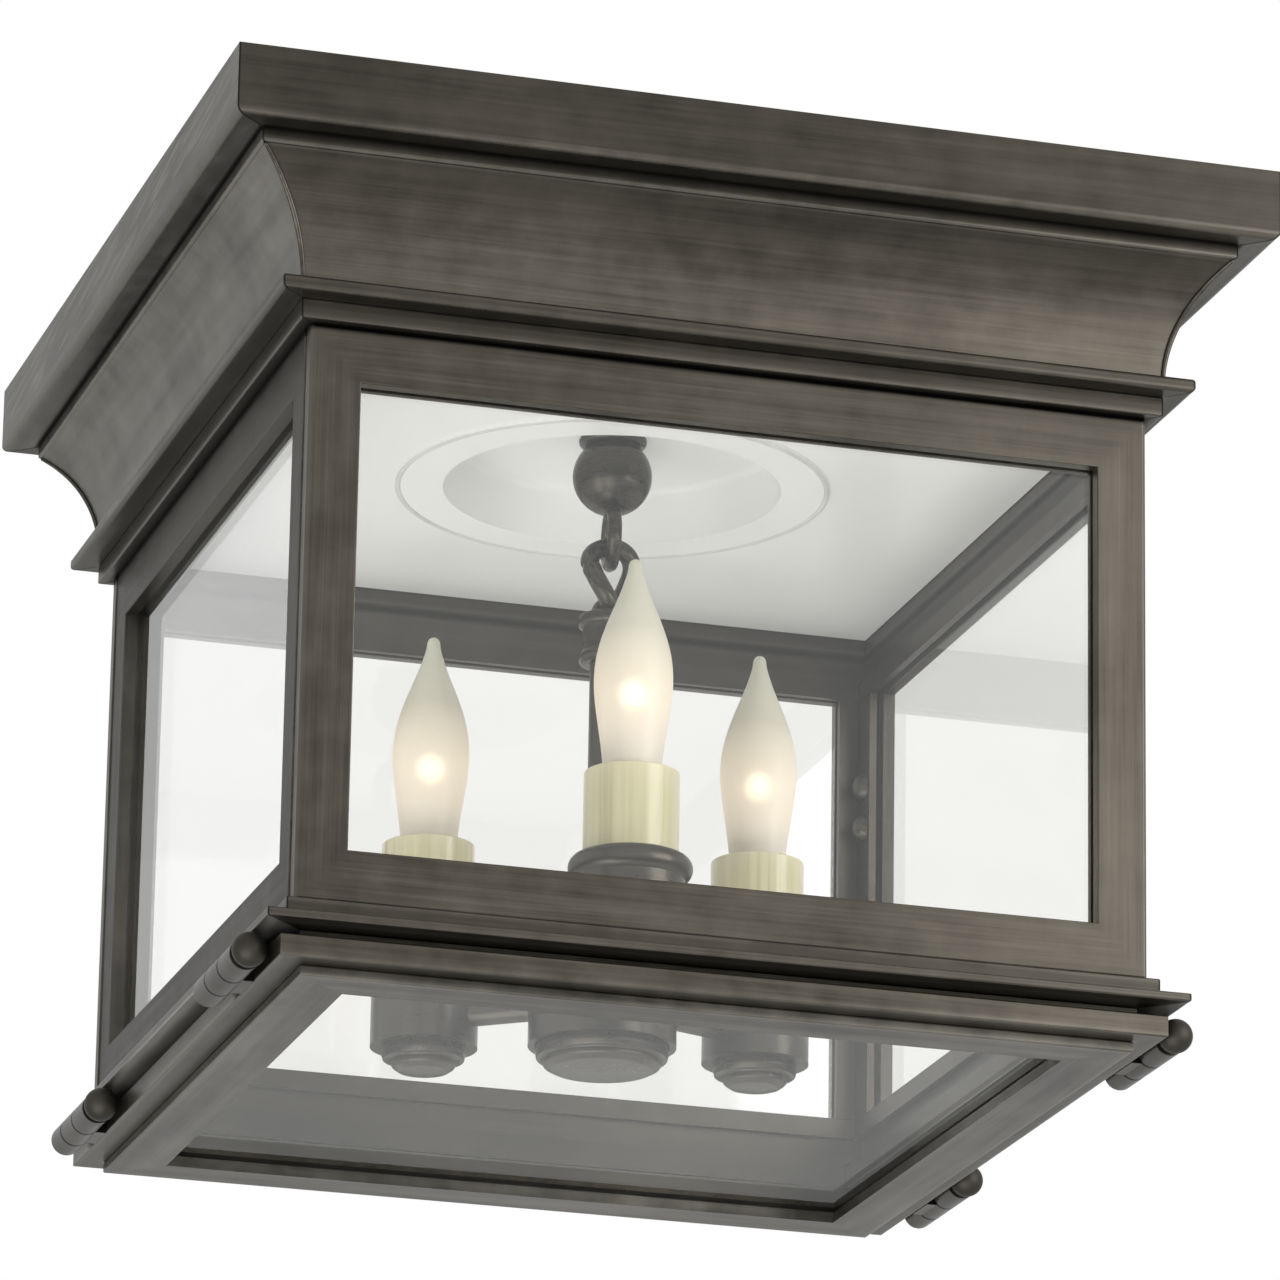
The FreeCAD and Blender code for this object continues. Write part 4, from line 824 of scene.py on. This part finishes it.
@dataclass
class Housing:
    """The cornice, the mouldings, the four windows and the foot flange."""

    fascia_foot: float = -0.027
    bead: Arris = (0.1900, -0.0320)
    cove_top: Arris = (0.1890, -0.0325)
    cove_foot: Arris = (0.1680, -0.0777)
    seam_radius: float = 0.0011
    seam_lift: float = 0.0002
    seam_rows: int = 60
    corner_seam: float = 0.0005
    corner_waves: Arris = (230.0, 90.0)
    mitre_line: float = 0.0009
    frame_thick: float = 0.008
    stiles: tuple[float, float] = (0.0195, 0.017)
    rails: tuple[float, float] = (0.0202, 0.0214)
    arrises: list[Arris] = field(default_factory=list)
    painted_shade_corners: list[Arris] = field(default_factory=list)

    def find_corners(self) -> None:
        """List the arrises that get the painted highlight and the inner corners that get painted shade."""
        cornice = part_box("cornice_right")[1][0]
        self.arrises = [(cornice - 0.0008, self.fascia_foot + 0.0008), self.bead]
        for node in ("astragal_plate", "neck_band", "base_band", "foot_flange", "door_frame", "door_step"):
            low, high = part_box(node)
            self.arrises += [(high[0], low[2]), (high[0], high[2])]
        # Painted shade under the fascia, where the cove meets the astragal, at the top of the frames, at the foot
        # of the base band and along the pan's edge inside.
        self.painted_shade_corners = [(self.bead[0] + 0.001, self.fascia_foot)]
        for lower, upper in (("astragal_plate", ""), ("frame_right", "neck_band"), ("base_band", "foot_flange")):
            low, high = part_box(lower)
            self.painted_shade_corners.append((min(high[0], self.cove_foot[0]) if not upper else high[0],
                                  high[2] if lower != "base_band" else low[2]))
        pan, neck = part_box("top_pan")[1][0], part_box("neck_band")
        self.painted_shade_corners += [(pan, neck[0][2] - 0.0022), (pan, neck[1][2])]
        self.arrises.append((pan, neck[0][2] + 0.0006))

    def window(self, side: str) -> tuple[float, float, float]:
        """The half width, middle height and half height of a side's window."""
        low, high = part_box("frame_" + side)
        across = 0 if side in ("front", "back") else 1
        half = high[across] - self.stiles[across]
        foot, top = low[2] + self.rails[0], high[2] - self.rails[1]
        return half, (foot + top) / 2, (top - foot) / 2

    def build(self) -> None:
        """Dress the housing's nodes and lay its solder seams."""
        self.find_corners()
        edges = {"arrises": tuple(self.arrises), "painted_shade_corners": tuple(self.painted_shade_corners), "mitre": self.mitre_line}
        body_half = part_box("frame_front")[1][0]
        # The cove's top and foot heights, between which the cornice's colour is scaled by height: painted light
        # and shade down the cove.
        cove = {"cove_top_level": self.cove_top[1], "cove_foot_level": self.cove_foot[1]}
        dress(Bronze("bronze_front", Grain.ALONG_X, streak=0.75, dark=(0.0265, 0.0235, 0.0188),
                     pale=(0.077, 0.0694, 0.0565), painted_light_gain=(0.85, 1.95), **cove, **edges).build(),
              "cornice_front", "cornice_back")
        # Cornice left and right: a lit copy of the cornice bronze, painted much paler than the front and back.
        dress(Bronze("bronze_side_lit", Grain.ALONG_Y, streak=0.5, mottle=0.8, dark=(0.068, 0.0635, 0.056),
                     pale=(0.18, 0.172, 0.156), wiping=5.0, edge_tint=(0.62, 0.62, 0.62),
                     painted_light_gain=(1.26, 1.4), painted_shade_reach=0.0018, **cove, **edges).build(),
              "cornice_left", "cornice_right")
        moulding = {"dark": (0.0295, 0.026, 0.0207), "pale": (0.075, 0.0678, 0.055), "rub_highlight": 0.4, **edges}
        dress(Bronze("bronze_moulding", Grain.ROUND_THE_SQUARE, **moulding).build(),
              "astragal_plate", "neck_band", "base_band")
        # Foot flange: painted light on the undersides of its left and right lengths.
        dress(Bronze("bronze_foot", Grain.ROUND_THE_SQUARE, painted_underside_light_level=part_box("foot_flange")[0][2] + 0.0006,
                     **moulding).build(), "foot_flange")
        dress(Bronze("bronze_window_front", Grain.WINDOW_FRONT, window=self.window("front"), corner_half=body_half,
                     painted_shade_corners=edges["painted_shade_corners"]).build(), "frame_front", "frame_back")
        # Side windows: a shaded copy of the window bronze, painted darker than the front and back for the shade
        # under the cornice.
        dress(Bronze("bronze_window_side_shaded", Grain.WINDOW_SIDE, window=self.window("left"), streak=0.7, mottle=0.8,
                     dark=(0.0294, 0.0268, 0.0226), pale=(0.086, 0.0808, 0.0692), edge_tint=(0.62, 0.62, 0.62),
                     painted_shade_corners=edges["painted_shade_corners"]).build(), "frame_left", "frame_right")
        dress(ClearGlass("window_glass").build(), *("glass_" + side for side in SIDES))
        dress(Bronze("bronze_stops", Grain.CAST, streak=0.6).build(), "glass_stops")
        dress(Bronze("bronze_screw_heads", Grain.CAST, rubbed_highlight=(0.3, 0.28, 0.25), roughness=0.3).build(),
              "stop_screws")
        self.lay_seams()

    def lay_seams(self) -> None:
        """Lay a thin solder ridge down each mitre of the cove and along each upright joint of the body.

        On the cove the half width is foot + radius - sqrt(radius^2 - rise^2), with rise from the cove's foot.
        """
        solder = Bronze("bronze_solder", Grain.CAST, pale=(0.09, 0.082, 0.068), roughness=0.33).build()
        run, rise = self.cove_top[0] - self.cove_foot[0], self.cove_top[1] - self.cove_foot[1]
        radius = (run ** 2 + rise ** 2) / (2 * run)
        climb = np.linspace(0.0, rise, self.seam_rows)
        half = self.cove_foot[0] + self.seam_lift + radius - np.sqrt(radius ** 2 - climb ** 2)
        taper = self.seam_radius * (0.7 + 0.3 * np.sin(np.linspace(0.0, math.pi, self.seam_rows)))
        low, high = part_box("frame_front")
        upright = np.linspace(low[2], high[2], self.seam_rows)
        beat, drift = self.corner_waves
        for name, (across, deep) in CORNERS.items():
            path = np.stack([across * half, deep * half, self.cove_foot[1] + climb], axis=1)
            piece("mitre_seam_" + name, wire(path, (across, -deep, 0.0), taper, sides=14), solder,
                  "lantern")
            joint = deep * (high[0] - self.frame_thick)
            path = np.stack([np.full(self.seam_rows, across * high[0]), np.full(self.seam_rows, joint), upright],
                            axis=1)
            width = self.corner_seam * (1.0 + 0.1 * np.sin(upright * beat) * np.sin(upright * drift))
            piece("corner_seam_" + name, wire(path, (0.0, 1.0, 0.0), width, sides=8), solder, "lantern")


@dataclass
class Door:
    """The glazed door underneath, with its hinges and pull-out pins."""

    barrel_dark: Colour = (0.040, 0.0385, 0.034)
    barrel_pale: Colour = (0.105, 0.101, 0.09)
    hinge_middle: float = 0.120
    knuckle: float = 0.019
    knuckle_gap: float = 0.0004
    glass_shine: float = 0.03
    grazing: float = 0.3

    def build(self, housing: Housing) -> None:
        """Dress the door and its hinges.

        Args:
            housing: the housing, for the arrises that the door shares with it.
        """
        arrises = tuple(housing.arrises)
        dress(Bronze("bronze_door", Grain.ROUND_THE_SQUARE, arrises=arrises, mottle=0.8).build(), "door_frame")
        # Door step: a lit copy of the door bronze, painted paler for the light that its underside catches from
        # below.
        dress(Bronze("bronze_door_step_lit", Grain.ROUND_THE_SQUARE, arrises=arrises, streak=0.4, mottle=1.7,
                     dark=(0.047, 0.0438, 0.0375), pale=(0.147, 0.1395, 0.1225)).build(), "door_step")
        dress(Bronze("bronze_door_stops", Grain.CAST).build(), "door_glass_stops")
        dress(ClearGlass("door_glass", self.glass_shine, self.grazing).build(), "glass_door")
        reach = (self.knuckle + self.knuckle_gap) / 2
        joints = tuple(side * self.hinge_middle + end * reach for side in (-1, 1) for end in (-1, 1))
        for side in ("left", "right"):
            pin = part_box("pin_front_" + side)
            axis = (sum(corner[0] for corner in pin) / 2, 0.0, sum(corner[2] for corner in pin) / 2)
            barrel = Bronze(f"bronze_barrel_{side}", Grain.TURNED_LEVEL, axis, dark=self.barrel_dark,
                            pale=self.barrel_pale, roughness=0.36, joints=joints)
            dress(barrel.build(), f"base_knuckles_{side}", f"door_knuckles_{side}")
            knob = Bronze(f"bronze_pin_{side}", Grain.TURNED_LEVEL, axis, streak=0.4, roughness=0.52,
                          dark=(0.022, 0.0198, 0.0164), pale=(0.070, 0.064, 0.053))
            dress(knob.build(), f"pin_front_{side}", f"pin_rear_{side}")


@dataclass
class CeilingFixing:
    """The strap, the threaded tube and its nuts, and the white pan and dish."""

    thread_pitch: float = 0.00094
    thread_depth: float = 0.00045
    bore: float = 0.0033
    rows_a_turn: int = 6
    tube_steps: int = 32
    brim_bead: float = 0.0012
    brim_steps: int = 128

    def build(self) -> None:
        """Dress the fixing and cut the tube's thread."""
        steel = Plain("zinc_plate", (0.42, 0.42, 0.40), (0.66, 0.66, 0.62), 0.34, metallic=0.95,
                      waves=(130.0, 130.0, 130.0)).build()
        dress(steel, "ceiling_strap", "lock_nuts")
        enamel = Plain("white_enamel", (0.90, 0.905, 0.895), (0.93, 0.933, 0.923), 0.38, coat=0.2,
                       waves=(22.0, 22.0, 22.0))
        dress(enamel.build(), "top_pan", "ceiling_dish")
        self.roll_brim()
        self.cut_thread(steel)

    def roll_brim(self) -> None:
        """Roll the dish's brim into a thin bead, a ring of round section at its outer edge.

        A point of the section is bead * (cos, sin) about a middle that lies one bead inside the brim.
        """
        low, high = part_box("ceiling_dish")
        around = np.linspace(0.0, 2 * math.pi, 12, endpoint=False)
        section = np.stack([high[0] - self.brim_bead * (1.0 - np.cos(around)),
                            low[2] + self.brim_bead * (0.4 + np.sin(around))], axis=1)
        # The bead's enamel is painted grey: painted shade that outlines it against the white dish.
        edge = Plain("enamel_edge_shaded", (0.60, 0.60, 0.59), (0.76, 0.76, 0.75), 0.35, coat=0.2)
        piece("dish_brim_bead", turned(section, (0.0, 0.0), self.brim_steps), edge.build(), "lantern",
              closed_rows=True)

    def cut_thread(self, steel: bpy.types.Material) -> None:
        """Make the tube with its outer thread and its plain bore.

        Args:
            steel: its material.
        """
        low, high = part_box("threaded_tube")
        outer = (high[0] - low[0]) / 2
        turns = (high[2] - low[2]) / self.thread_pitch
        rows = np.linspace(low[2], high[2], int(turns * self.rows_a_turn))
        thread = screw_thread(rows, self.tube_steps, self.thread_pitch, self.thread_depth, low[2], high[2])
        outside = turned(np.stack([np.full_like(rows, outer), rows], axis=1), (0.0, 0.0), self.tube_steps, thread)
        inside = turned([(self.bore, high[2]), (self.bore, low[2])], (0.0, 0.0), self.tube_steps)
        piece("threaded_tube_turned", np.concatenate([outside, inside]), steel, "lantern",
              "threaded_tube", closed_rows=True)


@dataclass
class Hanging:
    """The ball and eye, the twisted chain link, the capped loop, and the stem down to the hub.

    quarter is how far the link is twisted. weld_place is the weld's share of the way round the link. loop_seat
    is how far the underside of the loop's crown lies below the top of the solid loop. The cap has a rim at each
    end of its neck and a hollow on top, and leg_sink is how deep the loop's legs go into its floor.
    """

    link_mean: float = 0.0099
    link_wire: float = 0.0036
    quarter: float = math.pi / 2
    hub_pale: Colour = (0.078, 0.0707, 0.0574)
    weld_place: float = 0.385
    weld_width: float = 0.0007
    weld_depth: float = 0.0005
    loop_mean: float = 0.0056
    loop_wire: float = 0.0018
    loop_seat: float = 0.0065
    leg_sink: float = 0.002
    cap_height: float = 0.0197
    cap_hollow: float = 0.0097
    hollow_depth: float = 0.0042
    cap_radius: float = 0.0122
    cap_neck: float = 0.0106
    cap_foot: float = 0.0118
    cap_rim: float = 0.005
    rim_round: float = 0.0019

    def build(self) -> None:
        """Dress the turned parts, bend the link and make the loop."""
        axis = (0.0, 0.0, 0.0)
        knob = Bronze("bronze_ball", Grain.TURNED_UPRIGHT, axis, pale=self.hub_pale, streak=0.35,
                      roughness=0.27).build()
        dress(knob, "ball_collar", "hanging_ball")
        dress(Bronze("bronze_stem", Grain.ALONG_Z).build(), "stem")
        dress(Bronze("bronze_hub", Grain.TURNED_UPRIGHT, axis, pale=self.hub_pale, roughness=0.31).build(), "hub")
        dress(Bronze("bronze_arms", Grain.CAST).build(), "arms")
        joint = next(j for j in frame["record"]["behaviour"]["joints"] if j["name"] == "link_swing")
        turn = -math.atan2(joint["axis"][0], joint["axis"][1])
        self.twist_link(turn)
        self.bend_loop(turn)

    def twist_link(self, turn: float) -> None:
        """Bend and twist the link's wire, with a notch where it was welded.

        The flat link is two half circles joined by straights. Its plane turns about the upright axis by a
        quarter from top to foot, in step with the height, so that its upper bend hangs across the eye and its
        lower bend across the loop.

        Args:
            turn: the angle of its upper bend about the upright axis.
        """
        low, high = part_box("chain_link")
        mean = self.link_mean
        top, foot = high[2] - self.link_wire - mean, low[2] + self.link_wire + mean
        bend = np.linspace(0.0, math.pi, 41)
        straight = np.linspace(top, foot, 14)[1:-1]
        across = np.concatenate([mean * np.cos(bend), np.full(12, -mean), -mean * np.cos(bend), np.full(12, mean)])
        height = np.concatenate([top + mean * np.sin(bend), straight, foot - mean * np.sin(bend), straight[::-1]])
        angle = turn + self.quarter * (top + mean - height) / (top - foot + 2 * mean)
        path = np.stack([across * np.cos(angle), across * np.sin(angle), height], axis=1)
        normal = np.stack([-np.sin(angle), np.cos(angle), np.zeros_like(angle)], axis=1)
        gaps = np.linalg.norm(np.diff(path, axis=0, append=path[:1]), axis=1)
        run = np.concatenate([[0.0], np.cumsum(gaps)[:-1]])
        away = (run - self.weld_place * gaps.sum()) / self.weld_width
        bulge = np.exp(-(np.abs(away) / 2.0 - 1.4) ** 2) * 0.3
        size = self.link_wire + self.weld_depth * (bulge - np.exp(-away ** 2))
        finish = Bronze("bronze_link", Grain.CAST, roughness=0.26).build()
        piece("chain_link_twisted", wire(path, normal, size, True, 24), finish, "link", "chain_link",
              closed_rows=True)

    def bend_loop(self, turn: float) -> None:
        """Make the loop that hangs in the link, and the hollow rimmed cap that it stands in.

        The loop is a half circle on two straight legs, whose crown touches the link from inside.

        Args:
            turn: the angle of the loop about the upright axis.
        """
        low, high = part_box("stem_loop")
        foot, top = low[2], low[2] + self.cap_height
        floor = top - self.hollow_depth
        middle = high[2] - self.loop_seat + self.loop_wire - self.loop_mean
        angle = np.linspace(0.0, math.pi, 41)
        leg = np.linspace(floor - self.leg_sink, middle, 8)[:-1]
        across = np.concatenate([np.full(7, self.loop_mean), self.loop_mean * np.cos(angle),
                                 np.full(7, -self.loop_mean)])
        height = np.concatenate([leg, middle + self.loop_mean * np.sin(angle), leg[::-1]])
        level = np.array([math.cos(turn), math.sin(turn), 0.0])
        path = across[:, None] * level + height[:, None] * np.array([0.0, 0.0, 1.0])
        finish = Bronze("bronze_loop", Grain.TURNED_UPRIGHT, streak=0.5, roughness=0.27).build()
        ring = wire(path, (-level[1], level[0], 0.0), self.loop_wire, sides=20)
        piece("stem_loop_ring", ring, finish, "cluster", "stem_loop")
        lower, upper, r = foot + self.cap_rim, top - self.cap_rim, self.rim_round
        profile = rounded([
            (0.0, foot, 0.0), (self.cap_foot, foot, r), (self.cap_foot, lower, r), (self.cap_neck, lower, 0.0003),
            (self.cap_neck, upper, 0.0003), (self.cap_radius, upper, r), (self.cap_radius, top, 0.0011),
            (self.cap_hollow, top, 0.0011), (self.cap_hollow, floor, 0.0012), (0.0, floor, 0.0),
        ])
        piece("stem_cap", turned(profile, (0.0, 0.0), 64), finish, "cluster", "stem_loop")


@dataclass
class Finial:
    """The stepped foot of the hub or of a cup: a step, a groove, and a boss with a slightly crowned face."""

    name: str
    node: str
    centre: tuple[float, float]
    step_radius: float
    step_height: float
    boss_radius: float
    face_radius: float
    groove: float = 0.0009
    crown: float = 0.0008

    def build(self, finish: bpy.types.Material) -> None:
        """Turn the finial; its face is crowned by the square of the radius.

        Args:
            finish: its material.
        """
        low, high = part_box(self.node)
        foot, top = low[2], high[2]
        step = top - self.step_height
        share = np.linspace(0.0, 1.0, 9)[:-1]
        face = np.stack([share * self.face_radius, foot + self.crown * share ** 2, np.zeros(8)], axis=1)
        edge = [
            (self.face_radius, foot + self.crown, 0.0009),
            (self.boss_radius, (foot + step) / 2, 0.0012),
            (self.boss_radius - 0.0002, step - self.groove, 0.0004),
            (self.boss_radius - self.groove, step, 0.0),
            (self.step_radius - 0.0006, step, 0.0005),
            (self.step_radius, step + self.step_height * 0.45, 0.0012),
            (self.step_radius - 0.0005, top, 0.0),
            (0.0, top, 0.0),
        ]
        profile = rounded(np.vstack([face, edge]))
        piece(self.name, turned(profile, self.centre, 72), finish, "cluster", self.node)


@dataclass
class Candle:
    """One candle: its cup and finial, its sleeve and its lit bulb.

    flame is the glass's (radius, height) from its foot to the start of its tip. glow_rise is the glow's height in
    it. plain_rim is the length of the bulb's shell above its thread.
    """

    name: str
    flame: tuple[Arris, ...] = (
        (0.0066, 0.0), (0.0088, 0.0042), (0.0107, 0.0095), (0.0114, 0.0145), (0.0121, 0.0205), (0.0135, 0.030),
        (0.0147, 0.0390), (0.0151, 0.0460), (0.0146, 0.0540), (0.0130, 0.0615), (0.0105, 0.0690), (0.0078, 0.0758),
        (0.0055, 0.0817), (0.0039, 0.0865), (0.0029, 0.0900), (0.0026, 0.0926),
    )
    tip: float = 0.0025
    glow_rise: float = 0.0405
    glow_radius: float = 0.0040
    glow_half: float = 0.0058
    base_radius: float = 0.0059
    base_steps: int = 48
    thread_pitch: float = 0.00254
    thread_depth: float = 0.0009
    plain_rim: float = 0.004
    insulator: float = 0.0028
    contact_radius: float = 0.0024
    cup_pale: Colour = (0.088, 0.0795, 0.0643)

    def build(self, turned_bronze: bpy.types.Material) -> None:
        """Dress the candle and make its finial and its bulb.

        Args:
            turned_bronze: the finial's material.
        """
        centre = middle_of("sleeve_" + self.name)
        finial = Finial("cup_finial_" + self.name, "cup_finials", centre[:2], step_radius=0.0164,
                        step_height=0.005, boss_radius=0.0124, face_radius=0.0098)
        finial.build(turned_bronze)
        axis = (centre[0], centre[1], 0.0)
        cup = Bronze("bronze_cup_" + self.name, Grain.TURNED_UPRIGHT, axis, pale=self.cup_pale, roughness=0.31)
        dress(cup.build(), "cup_" + self.name)
        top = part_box("sleeve_" + self.name)[1][2]
        dress(CandleSleeve("candle_sleeve_" + self.name, top).build(), "sleeve_" + self.name)
        self.blow_bulb(axis)
        self.fit_base(axis)

    def blow_bulb(self, axis: Triple) -> None:
        """Make the frosted flame and the glow inside it.

        The flame's tip ends in a quarter circle, and the glow is half an ellipse carried round the axis.

        Args:
            axis: a point of the candle's axis.
        """
        foot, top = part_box("bulb_glass_" + self.name)[0][2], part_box("bulb_glass_" + self.name)[1][2]
        flame = curve_through(self.flame)
        bend = np.linspace(0.12, math.pi / 2, 9)[:, None]
        length = top - foot
        cap = np.hstack([self.tip * np.cos(bend), length - self.tip + self.tip * np.sin(bend)])
        cap[-1, 0] = 0.0
        profile = np.vstack([[[0.0, 0.0]], flame, cap])
        profile[:, 1] += foot
        glow = foot + self.glow_rise
        shell = turned(profile, axis, 72)
        body = "bulb_" + self.name
        piece("bulb_flame_" + self.name, shell, FrostedBulb("frosted_bulb_" + self.name, glow, top).build(), body,
              "bulb_glass_" + self.name)
        turn = np.linspace(-math.pi / 2, math.pi / 2, 17)[:, None]
        heart = np.hstack([self.glow_radius * np.cos(turn), glow + self.glow_half * np.sin(turn)])
        heart[[0, -1], 0] = 0.0
        piece("bulb_glow_" + self.name, turned(heart, axis, 32),
              Glow("lamp_glow_" + self.name, glow, self.glow_half).build(), body)

    def fit_base(self, axis: Triple) -> None:
        """Make the bulb's threaded shell, its black insulator and its contact.

        Args:
            axis: a point of the candle's axis.
        """
        low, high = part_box("bulb_base_" + self.name)[0][2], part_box("bulb_base_" + self.name)[1][2]
        foot = low + self.insulator
        body, node = "bulb_" + self.name, "bulb_base_" + self.name
        rows = np.linspace(foot, high, 90)
        thread = screw_thread(rows, self.base_steps, self.thread_pitch, self.thread_depth, foot,
                              high - self.plain_rim)
        radius = np.full_like(rows, self.base_radius)
        shell = turned(np.stack([radius, rows], axis=1), axis, self.base_steps, thread)
        brass = Plain("bulb_base_plate_" + self.name, (0.50, 0.46, 0.36), (0.72, 0.68, 0.56), 0.25, 1.0)
        piece("bulb_shell_" + self.name, shell, brass.build(), body, node)
        black = Plain("bulb_insulator_" + self.name, (0.012, 0.012, 0.013), (0.03, 0.03, 0.032), 0.2, coat=0.4)
        rim, end = self.base_radius - self.thread_depth, self.contact_radius
        cone = [(0.0, foot + 0.0002), (rim, foot + 0.0002), (rim - 0.0006, foot - 0.0006), (end, low + 0.0006),
                (0.0, low + 0.0006)]
        piece("bulb_insulator_" + self.name, turned(cone, axis, 40), black.build(), body, node)
        drop = [(0.0, low + 0.0008), (end, low + 0.0008), (end * 0.9, low + 0.0003), (end * 0.5, low + 0.00005),
                (0.0, low)]
        tin = Plain("bulb_contact_" + self.name, (0.5, 0.5, 0.49), (0.7, 0.7, 0.68), 0.3, 1.0)
        piece("bulb_contact_" + self.name, turned(drop, axis, 32), tin.build(), body, node)


@dataclass(frozen=True)
class View:
    """The photograph's camera: a long lens, below and to the left, looking up."""

    place: Triple = (-0.8116, -2.8215, -1.0801)
    yaw: float = 16.281
    pitch: float = 17.634
    roll: float = 0.981
    focal_pixels: float = 7891.3
    frame_pixels: float = 1280.0
    sensor: float = 36.0

    def build(self) -> None:
        """Set the camera up: yaw turns it to the right, pitch lifts it, roll turns it about its axis."""
        yaw, pitch, roll = (math.radians(angle) for angle in (self.yaw, self.pitch, self.roll))
        forward = Vector((math.sin(yaw) * math.cos(pitch), math.cos(yaw) * math.cos(pitch), math.sin(pitch)))
        level = Vector((math.cos(yaw), -math.sin(yaw), 0.0))
        upward = level.cross(forward)
        right = math.cos(roll) * level + math.sin(roll) * upward
        up = math.cos(roll) * upward - math.sin(roll) * level
        data = bpy.data.cameras.new("camera")
        data.sensor_width = self.sensor
        data.lens = self.focal_pixels / self.frame_pixels * self.sensor
        camera = bpy.data.objects.new("camera", data)
        turn = Matrix((right, up, -forward)).transposed().to_4x4()
        camera.matrix_world = Matrix.Translation(self.place) @ turn
        bpy.context.scene.collection.objects.link(camera)
        bpy.context.scene.camera = camera


@dataclass
class Studio:
    """A white room, a pale floor and soft lamps."""

    fill: float = 0.95
    middle: Triple = (0.0, 0.0, -0.17)
    floor_half: float = 30.0
    floor_level: float = -5.2

    def build(self) -> None:
        """Build the room, the floor and the lamps."""
        bpy.context.scene.view_settings.view_transform = "Standard"
        self.background()
        self.floor()
        self.lamp("right", (0.8, -0.87, -0.1), size=0.8, power=8.4)
        self.lamp("under_left", (-1.45, -1.45, -2.0), size=2.8, power=66)
        self.lamp("behind", (-1.0, 2.4, -0.3), size=1.6, power=0.35)

    def background(self) -> None:
        """Light the object evenly; the camera, metal and glass see plain white around it."""
        world = bpy.data.worlds.new("studio")
        bpy.context.scene.world = world
        world.use_nodes = True
        tree = world.node_tree
        tree.nodes.clear()
        path = tree.nodes.new("ShaderNodeLightPath")
        seen = path.outputs["Is Camera Ray"]
        for name in ("Is Glossy Ray", "Is Transmission Ray"):
            either = tree.nodes.new("ShaderNodeMath")
            either.operation = "MAXIMUM"
            tree.links.new(seen, either.inputs[0])
            tree.links.new(path.outputs[name], either.inputs[1])
            seen = either.outputs[0]
        shades = []
        for strength in (self.fill, 1.0):
            shade = tree.nodes.new("ShaderNodeBackground")
            shade.inputs["Color"].default_value = (1.0, 1.0, 1.0, 1.0)
            shade.inputs["Strength"].default_value = strength
            shades.append(shade.outputs[0])
        mixed = tree.nodes.new("ShaderNodeMixShader")
        for place, source in enumerate((seen, *shades)):
            tree.links.new(source, mixed.inputs[place])
        output = tree.nodes.new("ShaderNodeOutputWorld")
        tree.links.new(mixed.outputs[0], output.inputs["Surface"])

    def lamp(self, name: str, place: Triple, size: float, power: float) -> None:
        """Add a soft square lamp that faces the lantern.

        Args:
            name: the lamp's name.
            place: where it stands, in metres.
            size: its side, in metres.
            power: its output, in watts.
        """
        data = bpy.data.lights.new(name, "AREA")
        data.shape = "SQUARE"
        data.size = size
        data.energy = power
        thing = bpy.data.objects.new(name, data)
        thing.location = place
        thing.rotation_euler = (Vector(self.middle) - Vector(place)).to_track_quat("-Z", "Y").to_euler()
        bpy.context.scene.collection.objects.link(thing)

    def floor(self) -> None:
        """Lay a plain pale floor far below the lantern."""
        half, level = self.floor_half, self.floor_level
        mesh = bpy.data.meshes.new("floor")
        corners = [(-half, -half, level), (half, -half, level), (half, half, level), (-half, half, level)]
        mesh.from_pydata(corners, [], [(0, 1, 2, 3)])
        thing = bpy.data.objects.new("floor", mesh)
        bpy.context.scene.collection.objects.link(thing)
        pale = Plain("pale_floor", (0.86, 0.86, 0.85), (0.9, 0.9, 0.89), 0.8, waves=(1.0, 1.0, 1.0))
        mesh.materials.append(pale.build())


def main() -> None:
    """Build the looks, one sub-assembly after another."""
    logging.basicConfig(level=logging.INFO, format="%(name)s: %(message)s")
    View().build()
    Studio().build()
    housing = Housing()
    housing.build()
    Door().build(housing)
    CeilingFixing().build()
    Hanging().build()
    turned_bronze = Bronze("bronze_finials", Grain.CAST, streak=0.5, roughness=0.32).build()
    hub_finial = Finial("hub_finial_turned", "hub_finial", (0.0, 0.0), step_radius=0.0258, step_height=0.005,
                        boss_radius=0.0228, face_radius=0.0195)
    hub_finial.build(turned_bronze)
    for name in CANDLES:
        Candle(name).build(turned_bronze)
    dress(Plain("black_socket", (0.016, 0.016, 0.017), (0.04, 0.04, 0.042), 0.45).build(), "sockets")


if __name__ == "__main__":
    main()
